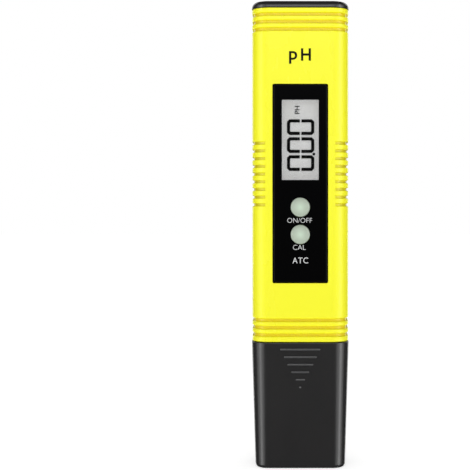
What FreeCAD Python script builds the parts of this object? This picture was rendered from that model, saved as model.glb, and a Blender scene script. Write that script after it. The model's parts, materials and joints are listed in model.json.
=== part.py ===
import FreeCAD, Part
import math
import os

from FreeCAD import Vector

# Pocket pH test pen, standing on its protective cap.
# Millimetres, +Z up along the pen, -Y is the display side, +X is to the right of the display.
# The origin is the centre of the cap's flat base.

os.makedirs("parts", exist_ok=True)

# Case
BODY_WIDTH = 32.1
BODY_DEPTH = 21.0
BODY_CORNER = 5.6
BODY_LOW = 42.25
BODY_HIGH = 152.65
WALL = 1.8
TOTAL_HEIGHT = 155.0
END_ROUND = 0.3
PARTING_GROOVE = 0.12
FAR = 200.0

BODY = (BODY_WIDTH, BODY_DEPTH, BODY_CORNER)
CAVITY = (BODY_WIDTH - 2 * WALL, BODY_DEPTH - 2 * WALL, BODY_CORNER - WALL)
FRONT = -BODY_DEPTH / 2
INNER_FRONT = FRONT + WALL
INNER_BACK = -INNER_FRONT
INNER_SIDE = CAVITY[0] / 2

# Decorative rings and side grip grooves
RING_PITCH = 2.465
TOP_RINGS = [150.53 - RING_PITCH * i for i in range(3)]
BOTTOM_RINGS = [49.46 - RING_PITCH * i for i in range(3)]
RING_DEPTH = 0.66
GRIP_COUNT = 9
GRIP_PITCH = 2.55
GRIP_MIDDLE = 97.85
GRIP_DEPTH = 0.55
GRIP_FRONT_DEPTH = 0.42
GRIP_LENGTH = 4.5
GROOVE_FLOOR = 0.75
GROOVE_DRAFT = 0.45
GROOVE_REACH = 2.0
SHOULDER_ROUND = 0.3

# Joint between the case halves: a tongue along each side and two snap arms on each side
TONGUE_INNER, TONGUE_OUTER = INNER_SIDE + 0.1, INNER_SIDE + 0.8
TONGUE_REACH = 0.9
TONGUE_LOW, TONGUE_HIGH = 52.2, 147.8
TONGUE_CLEAR = 0.1
SNAP_HEIGHTS = [68.0, 116.0]
SNAP_HALF_WIDTH = 3.0
SNAP_INNER, SNAP_OUTER = INNER_SIDE - 0.8, INNER_SIDE - 0.1
SNAP_REACH = 2.6
SNAP_BARB = 0.55
SNAP_ROOT, SNAP_ROOT_TOP = -2.5, -0.6
REAR_RIBS = [66.0, 84.0, 102.0, 120.0]
REAR_RIB_HALF_WIDTH = 12.0
REAR_RIB_RISE = 1.1
REAR_RIB_THICK = 1.0
HOLDER_RIB_INNER, HOLDER_RIB_OUTER = 10.35, 11.15
HOLDER_RIB_TIP = -7.2
HOLDER_RIB_LOW, HOLDER_RIB_HIGH = 100.0, 117.0

# Rib that locks the sensor end, and rails that hold the battery holder's floor
LOCK_RIB = 0.9
LOCK_LOW, LOCK_HIGH = 45.5, 46.5
RAIL_INNER = INNER_SIDE - 1.4
RAIL_HALF_DEPTH = 4.0

# Face: label, window and keys
LABEL_WIDTH = 18.25
LABEL_LOW, LABEL_HIGH = 61.8, 127.45
LABEL_CORNER = 0.5
LABEL_THICK = 0.4
LABEL_RECESS = 0.35
WINDOW_WIDTH = 12.15
WINDOW_LOW, WINDOW_HIGH = 95.85, 122.25
WINDOW_LEDGE = 0.95
KEY_HEIGHTS = {"on_off": 86.85, "cal": 77.85}
KEY_RADIUS = 3.1
KEY_HOLE_RADIUS = 3.3
KEY_PROUD = 1.0
KEY_FLANGE_RADIUS = 4.25
KEY_FLANGE_BACK = -7.95
NUB_RADIUS = 1.3
NUB_BACK = -7.6

LABEL_MIDDLE = (LABEL_LOW + LABEL_HIGH) / 2
LABEL_HEIGHT = LABEL_HIGH - LABEL_LOW
LABEL_BACK = FRONT + LABEL_RECESS
LABEL_FRONT = LABEL_BACK - LABEL_THICK
WINDOW_MIDDLE = (WINDOW_LOW + WINDOW_HIGH) / 2
WINDOW_HEIGHT = WINDOW_HIGH - WINDOW_LOW

# Circuit board and what it carries
BOARD_FRONT = -4.4
BOARD_THICK = 1.2
BOARD_BACK = BOARD_FRONT + BOARD_THICK
BOARD_WIDTH = 24.6
BOARD_LOW, BOARD_HIGH = 58.0, 131.0
POST_X = 9.9
POST_HEIGHTS = [61.2, 128.4]
POST_RADIUS = 2.1
SCREW_RADIUS = 0.72
SCREW_HEAD_RADIUS = 1.7
SCREW_HEAD_THICK = 1.2
SCREW_TIP = -7.6
SWITCH_SIZE = 6.0
SWITCH_THICK = 2.6
SWITCH_LEG_OFFSET = 2.3
SWITCH_LEG_WIDTH = 0.7
SWITCH_LEG_THICK = 0.2
SWITCH_RIVET_RADIUS = 0.42
PLUNGER_RADIUS = 1.7
PLUNGER_BACK = -6.0
BLOB_RADIUS, BLOB_RISE, BLOB_HEIGHT = 5.5, 1.6, 106.0
AMPLIFIER_HEIGHT = 76.0
AMPLIFIER_HALF_WIDTH, AMPLIFIER_HALF_LENGTH = 1.95, 2.45
AMPLIFIER_GAP, AMPLIFIER_RISE = 0.15, 1.6
AMPLIFIER_LEG_PITCH, AMPLIFIER_LEG_WIDTH = 1.27, 0.4
AMPLIFIER_LEG_REACH = 3.1
CRYSTAL_X = 8.2
CRYSTAL_LOW, CRYSTAL_HIGH = 88.0, 94.0
CRYSTAL_RADIUS = 1.0
CRYSTAL_WIRE_RADIUS, CRYSTAL_WIRE_APART, CRYSTAL_WIRE_LOW = 0.15, 0.7, 85.6
CHIP_HALF_LENGTH, CHIP_HALF_WIDTH, CHIP_RISE = 1.0, 0.62, 0.6
CHIP_PITCH = 3.4
CHIP_ROWS = [(-8.5, 70.0, 7), (4.6, 82.0, 4)]

# Liquid-crystal display
LCD_HEIGHT = 30.8
LCD_FRONT_WIDTH = 17.4
LCD_REAR_WIDTH = 13.6
LCD_GLASS = 0.55
POLARISER = 0.2
LCD_HOLDER_WALL = 1.4
LCD_FRONT = INNER_FRONT + 0.4
LAYER_GAP = 0.01
ZEBRA_INNER, ZEBRA_OUTER = 7.0, 8.6
ZEBRA_HALF_HEIGHT = 14.5

# Battery compartment
CELL_RADIUS = 5.8
CELL_LENGTH = 5.4
HOLDER_LOW, HOLDER_HIGH = 134.0, 148.2
HOLDER_FLOOR = HOLDER_LOW + 1.2
TROUGH_RADIUS = 5.95
CHAMBER_HALF_DEPTH = 6.7
TOWER_HALF_WIDTH = 7.4
TOWER_END_WALL = 1.4
CONTACT_THICK = 0.3
CONTACT_HALF_WIDTH = 4.6
CONTACT_HIGH = 146.6
TAIL_NEAR, TAIL_FAR = 1.6, 4.6
LEAF_CHORD = 4.1
CELL_HEIGHT = HOLDER_FLOOR + TROUGH_RADIUS
CELL_FRONT = -CHAMBER_HALF_DEPTH + CONTACT_THICK + 0.02
FOOT_LOW = HOLDER_LOW - CONTACT_THICK - 0.05

# Battery cover
COVER_LOW = BODY_HIGH + 0.1
COVER_OVERHANG = 0.1
COVER_ROUND = 1.9
COVER_WALL = 1.6
PLUG_LOW = 149.0
PLUG_CLEAR = 0.15
SEAL_CLEAR = 0.08
COVER_SEAL = 1.1
COVER_SEAL_HEIGHT = 150.7

# Protective cap: each section is (width, depth, corner radius)
CAP_HIGH = 42.05
CAP_TOP = (32.45, 21.3, 5.3)
CAP_BASE = (30.0, 19.1, 4.2)
CAP_MOUTH = (28.3, 17.9, 3.7)
CAP_MOUTH_LOW = 29.5
CAP_CHAMBER = (26.4, 16.0, 3.0)
CAP_FLOOR = 2.4
CAP_ROUND = 1.4
CAP_RIB_TOP = 39.8
CAP_RIB_PITCH = 2.51
CAP_RIB_LENGTHS = [13.4, 10.9, 8.7, 6.0, 3.2, 0.84]
CAP_RIB_RADIUS = 0.42
CAP_RIB_PROUD = 0.34
SPONGE_THICK = 4.0

# Sensor end
SPIGOT = (27.9, 17.5, 3.5)
SPIGOT_LOW = 29.85
PLUG_HIGH = 50.0
GUARD = (19.0, 13.2, 3.2)
GUARD_BORE = (14.8, 9.8, 2.0)
GUARD_LOW = 12.0
ROOF_LOW, ROOF_HIGH = 26.5, 29.5
GEL_CHAMBER = (21.6, 12.0, 2.5)
POTTING_LOW = 47.0
SLOT_HALF_WIDTH = 4.4
SLOT_HIGH = 23.0
CAP_SEAL = 1.2
CAP_SEAL_HEIGHT = 36.2
STEM_RADIUS, STEM_BORE = 3.6, 2.7
STEM_LOW, STEM_HIGH = 20.5, 52.0
STEM_SEAL_RADIUS = 0.4
STEM_SEAL_HEIGHT = 28.0
STOPPER_THICK = 1.0
BULB_RADIUS = 3.4
BULB_WALL = 0.35
BULB_HEIGHT = 16.4
NECK_RADIUS = 2.5
SILVER_RADIUS, SILVER_TIP_RADIUS = 0.4, 0.65
SILVER_TIP_LOW, SILVER_TIP_HIGH = 14.8, 18.6
SIDE_SENSOR_X = 5.9
TUBE_RADIUS, TUBE_WALL = 1.2, 0.2
TUBE_LOW, TUBE_HIGH = 15.5, 51.0
BEAD_RADIUS, BEAD_HEIGHT = 0.8, 17.2
JUNCTION_RADIUS = 1.1
JUNCTION_LOW, JUNCTION_HIGH = 25.8, 30.5
REFERENCE_RADIUS = 0.3
REFERENCE_LOW = 31.6
SLIP = 0.03

# Wires
LEAD_RADIUS = 0.4
THERMISTOR_LEAD_RADIUS = 0.35
THERMISTOR_LEAD_APART = 0.9
THERMISTOR_LEAD_TURN, THERMISTOR_LEAD_END = 59.5, 62.5
BEND_SHARE = 0.45


def outline(width, depth, corner, z):
    """Rounded-rectangle wire round the pen's long axis, at height z."""
    arcs = []
    for i, (sx, sy) in enumerate(((1, 1), (-1, 1), (-1, -1), (1, -1))):
        centre = Vector(sx * (width / 2 - corner), sy * (depth / 2 - corner), z)
        angles = [math.radians(90 * i + turn) for turn in (0, 45, 90)]
        arcs.append([centre + Vector(corner * math.cos(a), corner * math.sin(a), 0) for a in angles])
    edges = []
    for arc, following in zip(arcs, arcs[1:] + arcs[:1]):
        edges.append(Part.Arc(*arc).toShape())
        edges.append(Part.LineSegment(arc[2], following[0]).toShape())
    return Part.Wire(edges)


def prism(section, low, high):
    """Upright rounded-rectangle bar; section is (width, depth, corner radius)."""
    return Part.Face(outline(*section, low)).extrude(Vector(0, 0, high - low))


def grown(section, by):
    """The section offset outwards by a distance, or inwards if it is negative."""
    width, depth, corner = section
    return (width + 2 * by, depth + 2 * by, corner + by)


def block(x0, x1, y0, y1, z0, z1):
    return Part.makeBox(x1 - x0, y1 - y0, z1 - z0, Vector(x0, y0, z0))


def both_sides(x0, x1, y0, y1, z0, z1):
    """The same block on the right and on the left."""
    return block(x0, x1, y0, y1, z0, z1).fuse(block(-x1, -x0, y0, y1, z0, z1))


def rod(radius, start, end):
    """Round bar between two points."""
    start, end = Vector(*start), Vector(*end)
    return Part.makeCylinder(radius, (end - start).Length, start, end - start)


def upright(radius, x, low, high):
    """Round bar parallel to the pen, in its middle plane."""
    return rod(radius, (x, 0, low), (x, 0, high))


def face_plate(width, height, corner, middle, front, back):
    """Rounded rectangle seen from the front, from y = front to y = back, centred at height middle."""
    plate = prism((width, height, corner), 0, back - front)
    plate.rotate(Vector(0, 0, 0), Vector(1, 0, 0), -90)
    plate.translate(Vector(0, front, middle))
    return plate


def label_plate(by, front, back):
    """The label's outline, offset outwards by a distance, as a plate."""
    width, height = LABEL_WIDTH + 2 * by, LABEL_HEIGHT + 2 * by
    return face_plate(width, height, LABEL_CORNER + by, LABEL_MIDDLE, front, back)


def window_plate(by, corner, front, back):
    """The window's outline, offset outwards by a distance, as a plate."""
    return face_plate(WINDOW_WIDTH + 2 * by, WINDOW_HEIGHT + 2 * by, corner, WINDOW_MIDDLE, front, back)


def lcd_plate(width, shorter, front, back):
    """Plate behind the window, shorter than the display glass by a distance."""
    return face_plate(width, LCD_HEIGHT - shorter, 0.1, WINDOW_MIDDLE, front, back)


def seal_ring(section, height, thickness):
    """O-ring of round section whose centreline is the rounded rectangle section."""
    path = outline(*section, height)
    start = Vector(0, section[1] / 2, height)
    circle = Part.Wire(Part.makeCircle(thickness / 2, start, Vector(1, 0, 0)))
    return path.makePipeShell([circle], True, False)


def spun(edges):
    """Solid of revolution about the pen's long axis from a closed loop of edges."""
    return Part.Face(Part.Wire(edges)).revolve(Vector(0, 0, 0), Vector(0, 0, 1), 360)


def straight_edges(points):
    """Edges that join (radius, height) points in turn."""
    places = [Vector(r, 0, h) for r, h in points]
    return [Part.LineSegment(a, b).toShape() for a, b in zip(places, places[1:])]


def lead(points, radius):
    """Insulated wire: straight runs joined by tangent arcs, ending flush on the back of the board."""
    points = [Vector(*p) for p in points]
    edges = []
    reached = points[0]
    for before, corner, after in zip(points, points[1:], points[2:]):
        come, go = corner - before, after - corner
        setback = BEND_SHARE * min(come.Length, go.Length)
        bend = setback / math.tan(come.getAngle(go) / 2)
        enter = corner - Vector(come).normalize() * setback
        leave = corner + Vector(go).normalize() * setback
        inward = (enter + leave) * 0.5 - corner
        middle = corner + inward.normalize() * (math.hypot(setback, bend) - bend)
        edges.append(Part.LineSegment(reached, enter).toShape())
        edges.append(Part.Arc(enter, middle, leave).toShape())
        reached = leave
        print("lead bend radius", round(bend, 2), "in a wire", 2 * radius, "thick")
    into_board = (points[-1] - points[-2]).normalize() * (2 * radius)
    edges.append(Part.LineSegment(reached, points[-1] + into_board).toShape())
    circle = Part.Wire(Part.makeCircle(radius, points[0], points[1] - points[0]))
    wire = Part.Wire(edges).makePipeShell([circle], True, False)
    return wire.common(block(-FAR, FAR, BOARD_BACK, FAR, 0, FAR))


def round_edges(shape, radius, chosen):
    """Fillets the edges that chosen(edge) picks."""
    return shape.makeFillet(radius, [e for e in shape.Edges if chosen(e)])


def lies_at(edge, height):
    """True if the whole edge is at this height."""
    box = edge.BoundBox
    return abs(box.ZMin - height) < 1e-4 and abs(box.ZMax - height) < 1e-4


def save(name, shape):
    """Writes one node; a list of solids is written as a group of separate solids."""
    solids = Part.makeCompound(shape).Solids if isinstance(shape, list) else shape.Solids
    whole = solids[0] if len(solids) == 1 else Part.makeCompound(solids)
    state = "ok" if all(s.isValid() and s.Volume > 0 for s in solids) else "BAD"
    print(name, len(solids), state, round(sum(s.Volume for s in solids), 2), "mm3")
    whole.exportStep("parts/" + name + ".step")


def groove_cutter(floor, height):
    """Everything outside a groove's floor outline, with flanks that open outwards by the draft."""
    half = GROOVE_FLOOR / 2
    flare = half + GROOVE_DRAFT * GROOVE_REACH
    levels = [(GROOVE_REACH, -flare), (0, -half), (0, half), (GROOVE_REACH, flare)]
    waist = Part.makeLoft([outline(*grown(floor, out), height + dz) for out, dz in levels], True, True)
    slab = prism(grown(floor, GROOVE_REACH - 0.01), height - flare + 0.01, height + flare - 0.01)
    return slab.cut(waist)


def ring_cutters():
    floor = grown(BODY, -RING_DEPTH)
    return [groove_cutter(floor, z) for z in TOP_RINGS + BOTTOM_RINGS]


def grip_cutters():
    """Side grooves that turn the corners and stop a short way in on the front and the back."""
    corner = BODY_CORNER - GRIP_FRONT_DEPTH
    floor = (BODY_WIDTH - 2 * GRIP_DEPTH, BODY_DEPTH - 2 * GRIP_FRONT_DEPTH, corner)
    first = GRIP_MIDDLE - GRIP_PITCH * (GRIP_COUNT - 1) / 2
    sides = both_sides(BODY_WIDTH / 2 - GRIP_LENGTH, FAR, -FAR, FAR, 0, FAR)
    return [groove_cutter(floor, first + GRIP_PITCH * i).common(sides) for i in range(GRIP_COUNT)]


def case_skin():
    """The closed outer form of both halves, with rings, grip grooves and rounded rims."""
    skin = prism(BODY, BODY_LOW, BODY_HIGH)
    skin = round_edges(skin, END_ROUND, lambda e: lies_at(e, BODY_LOW) or lies_at(e, BODY_HIGH))
    skin = skin.cut(ring_cutters())
    lip = GROOVE_FLOOR / 2 + GROOVE_DRAFT * RING_DEPTH
    lips = [z + side * lip for z in TOP_RINGS + BOTTOM_RINGS for side in (-1, 1)]
    skin = round_edges(skin, SHOULDER_ROUND, lambda e: any(lies_at(e, z) for z in lips))
    return skin.cut(grip_cutters())


def case_tube():
    """Both halves as one hollow tube, with its lock rib, its holder rails and the fine parting line."""
    tube = case_skin().cut(prism(CAVITY, 0, FAR))
    tube = tube.cut(both_sides(BODY_WIDTH / 2 - PARTING_GROOVE, FAR, -PARTING_GROOVE, PARTING_GROOVE, 0, FAR))
    rib = prism(grown(CAVITY, 0.1), LOCK_LOW, LOCK_HIGH).cut(prism(grown(CAVITY, -LOCK_RIB), 0, FAR))
    tube = tube.fuse(rib)
    rails = [(FOOT_LOW - 0.75, HOLDER_LOW - 0.05), (HOLDER_FLOOR + 0.1, HOLDER_FLOOR + 1.1)]
    half, outer = RAIL_HALF_DEPTH, INNER_SIDE + 0.1
    return tube.fuse([both_sides(RAIL_INNER, outer, -half, half, low, high) for low, high in rails])


def screw_post(x, z):
    return rod(POST_RADIUS, (x, INNER_FRONT - 0.3, z), (x, BOARD_FRONT - 0.02, z))


def snap_arm(z):
    """Arm on each side that reaches into the rear shell and hooks outwards into its pocket."""
    low, high = z - SNAP_HALF_WIDTH, z + SNAP_HALF_WIDTH
    tip = SNAP_OUTER + SNAP_BARB
    root = both_sides(SNAP_INNER, INNER_SIDE + 0.2, SNAP_ROOT, SNAP_ROOT_TOP, low, high)
    arm = both_sides(SNAP_INNER, SNAP_OUTER, -1.0, SNAP_REACH, low, high)
    barb = both_sides(SNAP_OUTER - 0.2, tip, SNAP_REACH - 0.75, SNAP_REACH - 0.1, low + 0.2, high - 0.2)
    return root.fuse([arm, barb])


def snap_pocket(z):
    """Recess on each side of the rear shell for the arm's barb."""
    low, high = z - SNAP_HALF_WIDTH - 0.1, z + SNAP_HALF_WIDTH + 0.1
    tip = SNAP_OUTER + SNAP_BARB + 0.15
    return both_sides(SNAP_OUTER - 0.2, tip, SNAP_REACH - 0.9, SNAP_REACH + 0.05, low, high)


def key_holes(front, back):
    return [rod(KEY_HOLE_RADIUS, (0, front, z), (0, back, z)) for z in KEY_HEIGHTS.values()]


def front_shell(tube):
    shell = tube.common(block(-FAR, FAR, -FAR, 0, 0, FAR))
    openings = [label_plate(0.1, FRONT - 1, LABEL_BACK),
                window_plate(WINDOW_LEDGE + 0.1, 0.5, FRONT - 1, INNER_FRONT + 1)]
    shell = shell.cut(openings + key_holes(FRONT - 1, INNER_FRONT + 0.5))
    places = [(x, z) for x in (-POST_X, POST_X) for z in POST_HEIGHTS]
    shell = shell.fuse([screw_post(x, z) for x, z in places])
    shell = shell.cut([rod(SCREW_RADIUS + SLIP, (x, SCREW_TIP - 0.6, z), (x, 0, z)) for x, z in places])
    holder_rib = both_sides(HOLDER_RIB_INNER, HOLDER_RIB_OUTER, INNER_FRONT - 0.2, HOLDER_RIB_TIP,
                            HOLDER_RIB_LOW, HOLDER_RIB_HIGH)
    tongue = both_sides(TONGUE_INNER, TONGUE_OUTER, -0.5, TONGUE_REACH, TONGUE_LOW, TONGUE_HIGH)
    shell = shell.fuse([holder_rib, tongue] + [snap_arm(z) for z in SNAP_HEIGHTS])
    return shell.removeSplitter()


def rear_shell(tube):
    shell = tube.common(block(-FAR, FAR, 0, FAR, 0, FAR))
    rebate = both_sides(INNER_SIDE - 0.3, TONGUE_OUTER + TONGUE_CLEAR, -1, TONGUE_REACH + TONGUE_CLEAR,
                        TONGUE_LOW - TONGUE_CLEAR, TONGUE_HIGH + TONGUE_CLEAR)
    shell = shell.cut([rebate] + [snap_pocket(z) for z in SNAP_HEIGHTS])
    half, crest = REAR_RIB_HALF_WIDTH, INNER_BACK - REAR_RIB_RISE
    ribs = [block(-half, half, crest, INNER_BACK + 0.2, z, z + REAR_RIB_THICK) for z in REAR_RIBS]
    shell = shell.fuse(ribs)
    return shell.removeSplitter()


def face_label():
    label = label_plate(0, LABEL_FRONT, LABEL_BACK)
    return label.cut([window_plate(0, 0.15, FRONT - 1, FRONT + 1)] + key_holes(FRONT - 1, FRONT + 1))


def display_window():
    """Clear pane that sits in the case behind the label, with a raised pad that fills the label's window."""
    pane = window_plate(WINDOW_LEDGE, 0.4, LABEL_BACK + 0.02, INNER_FRONT - 0.25)
    pad = window_plate(-0.05, 0.1, FRONT + 0.02, LABEL_BACK + 0.1)
    return pane.fuse(pad).removeSplitter()


def key_cap(height):
    """Domed push key: a crown that stands out of the label, a retaining flange and a nub for the switch."""
    crown = KEY_PROUD - LABEL_FRONT
    rim = crown - 0.65
    flange = -INNER_FRONT - 0.08
    profile = [(KEY_RADIUS, rim), (KEY_RADIUS, flange), (KEY_FLANGE_RADIUS, flange),
               (KEY_FLANGE_RADIUS, -KEY_FLANGE_BACK), (NUB_RADIUS, -KEY_FLANGE_BACK),
               (NUB_RADIUS, -NUB_BACK), (0, -NUB_BACK), (0, crown)]
    swell = Vector(KEY_RADIUS * 0.62, 0, rim + (crown - rim) * 0.74)
    dome = Part.Arc(Vector(0, 0, crown), swell, Vector(KEY_RADIUS, 0, rim)).toShape()
    cap = spun(straight_edges(profile) + [dome])
    cap.rotate(Vector(0, 0, 0), Vector(1, 0, 0), 90)
    cap.translate(Vector(0, 0, height))
    return cap


def key_plunger(height):
    return rod(PLUNGER_RADIUS, (0, NUB_BACK, height), (0, PLUNGER_BACK, height))


def key_switch(height):
    """Surface-mount tactile switch without its plunger: body, four corner rivets and four legs."""
    half = SWITCH_SIZE / 2
    top = BOARD_FRONT - SWITCH_THICK
    body = block(-half, half, top, BOARD_FRONT, height - half, height + half)
    body = round_edges(body, 0.4, lambda e: abs(e.BoundBox.YLength - SWITCH_THICK) < 1e-6)
    corners = (-SWITCH_LEG_OFFSET, SWITCH_LEG_OFFSET)
    for dz in corners:
        z = height + dz
        low, high = z - SWITCH_LEG_WIDTH / 2, z + SWITCH_LEG_WIDTH / 2
        legs = both_sides(half - 0.2, half + 1, BOARD_FRONT - SWITCH_LEG_THICK, BOARD_FRONT, low, high)
        rivets = [rod(SWITCH_RIVET_RADIUS, (x, top + 0.2, z), (x, top - 0.15, z)) for x in corners]
        body = body.fuse([legs] + rivets)
    return body.cut(rod(PLUNGER_RADIUS + 0.1, (0, top - 1, height), (0, PLUNGER_BACK + 0.7, height)))


def lcd_holder():
    """Frame that carries the display glass and stands on the board."""
    outer = LCD_FRONT_WIDTH + 0.2 + 2 * LCD_HOLDER_WALL
    frame = face_plate(outer, LCD_HEIGHT + 2.2, 0.8, WINDOW_MIDDLE, INNER_FRONT + 0.05, BOARD_FRONT - 0.05)
    lip = window_plate(0.65, 0.3, INNER_FRONT - 1, INNER_FRONT + 1)
    pocket = lcd_plate(LCD_FRONT_WIDTH + 0.2, -0.2, LCD_FRONT - 0.05, 0)
    return frame.cut([lip, pocket])


def lcd_layers():
    """Polariser, front glass, rear glass and reflector, from front to back."""
    stack = [("lcd_front_polariser", LCD_FRONT_WIDTH - 2, 1.2, POLARISER),
             ("lcd_front_glass", LCD_FRONT_WIDTH, 0, LCD_GLASS),
             ("lcd_rear_glass", LCD_REAR_WIDTH, 0, LCD_GLASS),
             ("lcd_reflector", LCD_REAR_WIDTH - 0.4, 0.6, POLARISER)]
    layers = {}
    y = LCD_FRONT
    for name, width, shorter, thick in stack:
        layers[name] = lcd_plate(width, shorter, y, y + thick)
        y += thick + LAYER_GAP
    return layers


def zebra_strip(side):
    """Elastomer connector between the front glass's ledge and the board."""
    front = LCD_FRONT + POLARISER + LCD_GLASS + 2 * LAYER_GAP
    low, high = WINDOW_MIDDLE - ZEBRA_HALF_HEIGHT, WINDOW_MIDDLE + ZEBRA_HALF_HEIGHT
    strip = block(ZEBRA_INNER, ZEBRA_OUTER, front, BOARD_FRONT - LAYER_GAP, low, high)
    return strip if side > 0 else strip.mirror(Vector(0, 0, 0), Vector(1, 0, 0))


def circuit_board():
    middle = (BOARD_LOW + BOARD_HIGH) / 2
    board = face_plate(BOARD_WIDTH, BOARD_HIGH - BOARD_LOW, 1.0, middle, BOARD_FRONT, BOARD_BACK)
    return board.cut([rod(1.1, (x, -6, z), (x, 0, z)) for x in (-POST_X, POST_X) for z in POST_HEIGHTS])


def board_screw(x, z):
    """Pan-head self-tapping screw with a cross recess."""
    top = BOARD_BACK + SCREW_HEAD_THICK
    head = rod(SCREW_HEAD_RADIUS, (x, BOARD_BACK, z), (x, top, z))
    head = round_edges(head, 0.5, lambda e: abs(e.BoundBox.YMin - top) < 1e-6)
    screw = head.fuse(rod(SCREW_RADIUS, (x, SCREW_TIP, z), (x, BOARD_BACK + 0.1, z)))
    for dx, dz in ((1.0, 0.2), (0.2, 1.0)):
        screw = screw.cut(block(x - dx, x + dx, top - 0.6, top + 1, z - dz, z + dz))
    return screw


def controller_blob():
    """Epoxy dome over the bonded controller chip, on the back of the board."""
    ball = (BLOB_RADIUS ** 2 + BLOB_RISE ** 2) / (2 * BLOB_RISE)
    dome = Part.makeSphere(ball, Vector(0, BOARD_BACK + BLOB_RISE - ball, BLOB_HEIGHT))
    return dome.common(block(-FAR, FAR, BOARD_BACK, FAR, 0, FAR))


def amplifier_chip():
    """Eight-leg amplifier package for the electrode signal."""
    z = AMPLIFIER_HEIGHT
    half, length = AMPLIFIER_HALF_WIDTH, AMPLIFIER_HALF_LENGTH
    chip = block(-half, half, BOARD_BACK + AMPLIFIER_GAP, BOARD_BACK + AMPLIFIER_RISE, z - length, z + length)
    bend = AMPLIFIER_LEG_REACH - 0.5
    for i in range(4):
        low = z + AMPLIFIER_LEG_PITCH * (i - 1.5) - AMPLIFIER_LEG_WIDTH / 2
        high = low + AMPLIFIER_LEG_WIDTH
        shoulder = both_sides(half - 0.15, bend, BOARD_BACK + 0.6, BOARD_BACK + 0.8, low, high)
        shin = both_sides(bend - 0.2, bend, BOARD_BACK, BOARD_BACK + 0.8, low, high)
        foot = both_sides(bend - 0.2, AMPLIFIER_LEG_REACH, BOARD_BACK, BOARD_BACK + 0.2, low, high)
        chip = chip.fuse([shoulder, shin, foot])
    return chip.removeSplitter()


def crystal_can():
    """Watch crystal lying on the board, with its two wires."""
    x, y = CRYSTAL_X, BOARD_BACK + CRYSTAL_RADIUS + 0.05
    can = rod(CRYSTAL_RADIUS, (x, y, CRYSTAL_LOW), (x, y, CRYSTAL_HIGH))
    can = round_edges(can, 0.3, lambda e: lies_at(e, CRYSTAL_HIGH))
    places = [x - CRYSTAL_WIRE_APART / 2, x + CRYSTAL_WIRE_APART / 2]
    start, end = CRYSTAL_LOW + 0.2, CRYSTAL_WIRE_LOW
    return can.fuse([rod(CRYSTAL_WIRE_RADIUS, (place, y, start), (place, y, end)) for place in places])


def chip_parts():
    """Chip resistors and capacitors in two upright rows, one solid each."""
    places = [(x, first + CHIP_PITCH * i) for x, first, count in CHIP_ROWS for i in range(count)]
    half, rise = CHIP_HALF_LENGTH, BOARD_BACK + CHIP_RISE
    return [block(x - half, x + half, BOARD_BACK, rise, z - CHIP_HALF_WIDTH, z + CHIP_HALF_WIDTH)
            for x, z in places]


def battery_holder():
    """Cradle for two button cells laid face to face, with slots in its floor for the contact tails."""
    half = CHAMBER_HALF_DEPTH
    floor = prism(grown(CAVITY, -0.3), HOLDER_LOW, HOLDER_FLOOR)
    wide, deep = TOWER_HALF_WIDTH, half + TOWER_END_WALL
    tower = block(-wide, wide, -deep, deep, HOLDER_LOW + 0.5, HOLDER_HIGH)
    trough = rod(TROUGH_RADIUS, (0, -half, CELL_HEIGHT + 0.1), (0, half, CELL_HEIGHT + 0.1))
    shaft = block(-TROUGH_RADIUS, TROUGH_RADIUS, -half, half, CELL_HEIGHT, FAR)
    plate_half = CONTACT_HALF_WIDTH + 0.2
    front_pocket = block(-plate_half, plate_half, -half, CELL_FRONT + 0.08, HOLDER_FLOOR, FAR)
    rear_pocket = block(-plate_half, plate_half, CELL_FRONT + 2 * CELL_LENGTH + 0.06, half, HOLDER_FLOOR, FAR)
    front_slot = block(-TAIL_FAR - 0.1, -TAIL_NEAR + 0.1, -half, -half + 0.45, 0, FAR)
    rear_slot = block(TAIL_NEAR - 0.1, TAIL_FAR + 0.1, half - 0.45, half, 0, FAR)
    holder = floor.fuse(tower).cut([trough, shaft, front_pocket, rear_pocket, front_slot, rear_slot])
    return holder.removeSplitter()


def button_cell(front):
    """Button cell with its can to the front, a crimped rim and a raised rear cap."""
    r, length = CELL_RADIUS, CELL_LENGTH
    profile = [(0, 0), (r - 0.4, 0), (r, 0.4), (r, length - 0.9), (r - 0.45, length - 0.35),
               (r - 0.9, length - 0.35), (r - 0.95, length - 0.55), (r - 1.15, length - 0.55),
               (r - 1.25, length), (0, length), (0, 0)]
    cell = spun(straight_edges(profile))
    cell.rotate(Vector(0, 0, 0), Vector(1, 0, 0), -90)
    cell.translate(Vector(0, front, CELL_HEIGHT))
    return cell


def positive_contact():
    """Flat plate at the front end, with a tail through the floor and a foot that runs back under it."""
    y0, y1 = -CHAMBER_HALF_DEPTH, -CHAMBER_HALF_DEPTH + CONTACT_THICK
    plate = block(-CONTACT_HALF_WIDTH, CONTACT_HALF_WIDTH, y0, y1, HOLDER_FLOOR + 0.1, CONTACT_HIGH)
    tail = block(-TAIL_FAR, -TAIL_NEAR, y0, y1, FOOT_LOW, HOLDER_FLOOR + 1)
    foot = block(-TAIL_FAR, -TAIL_NEAR, y0, 2.2, FOOT_LOW, FOOT_LOW + CONTACT_THICK)
    return plate.fuse([tail, foot]).removeSplitter()


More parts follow.
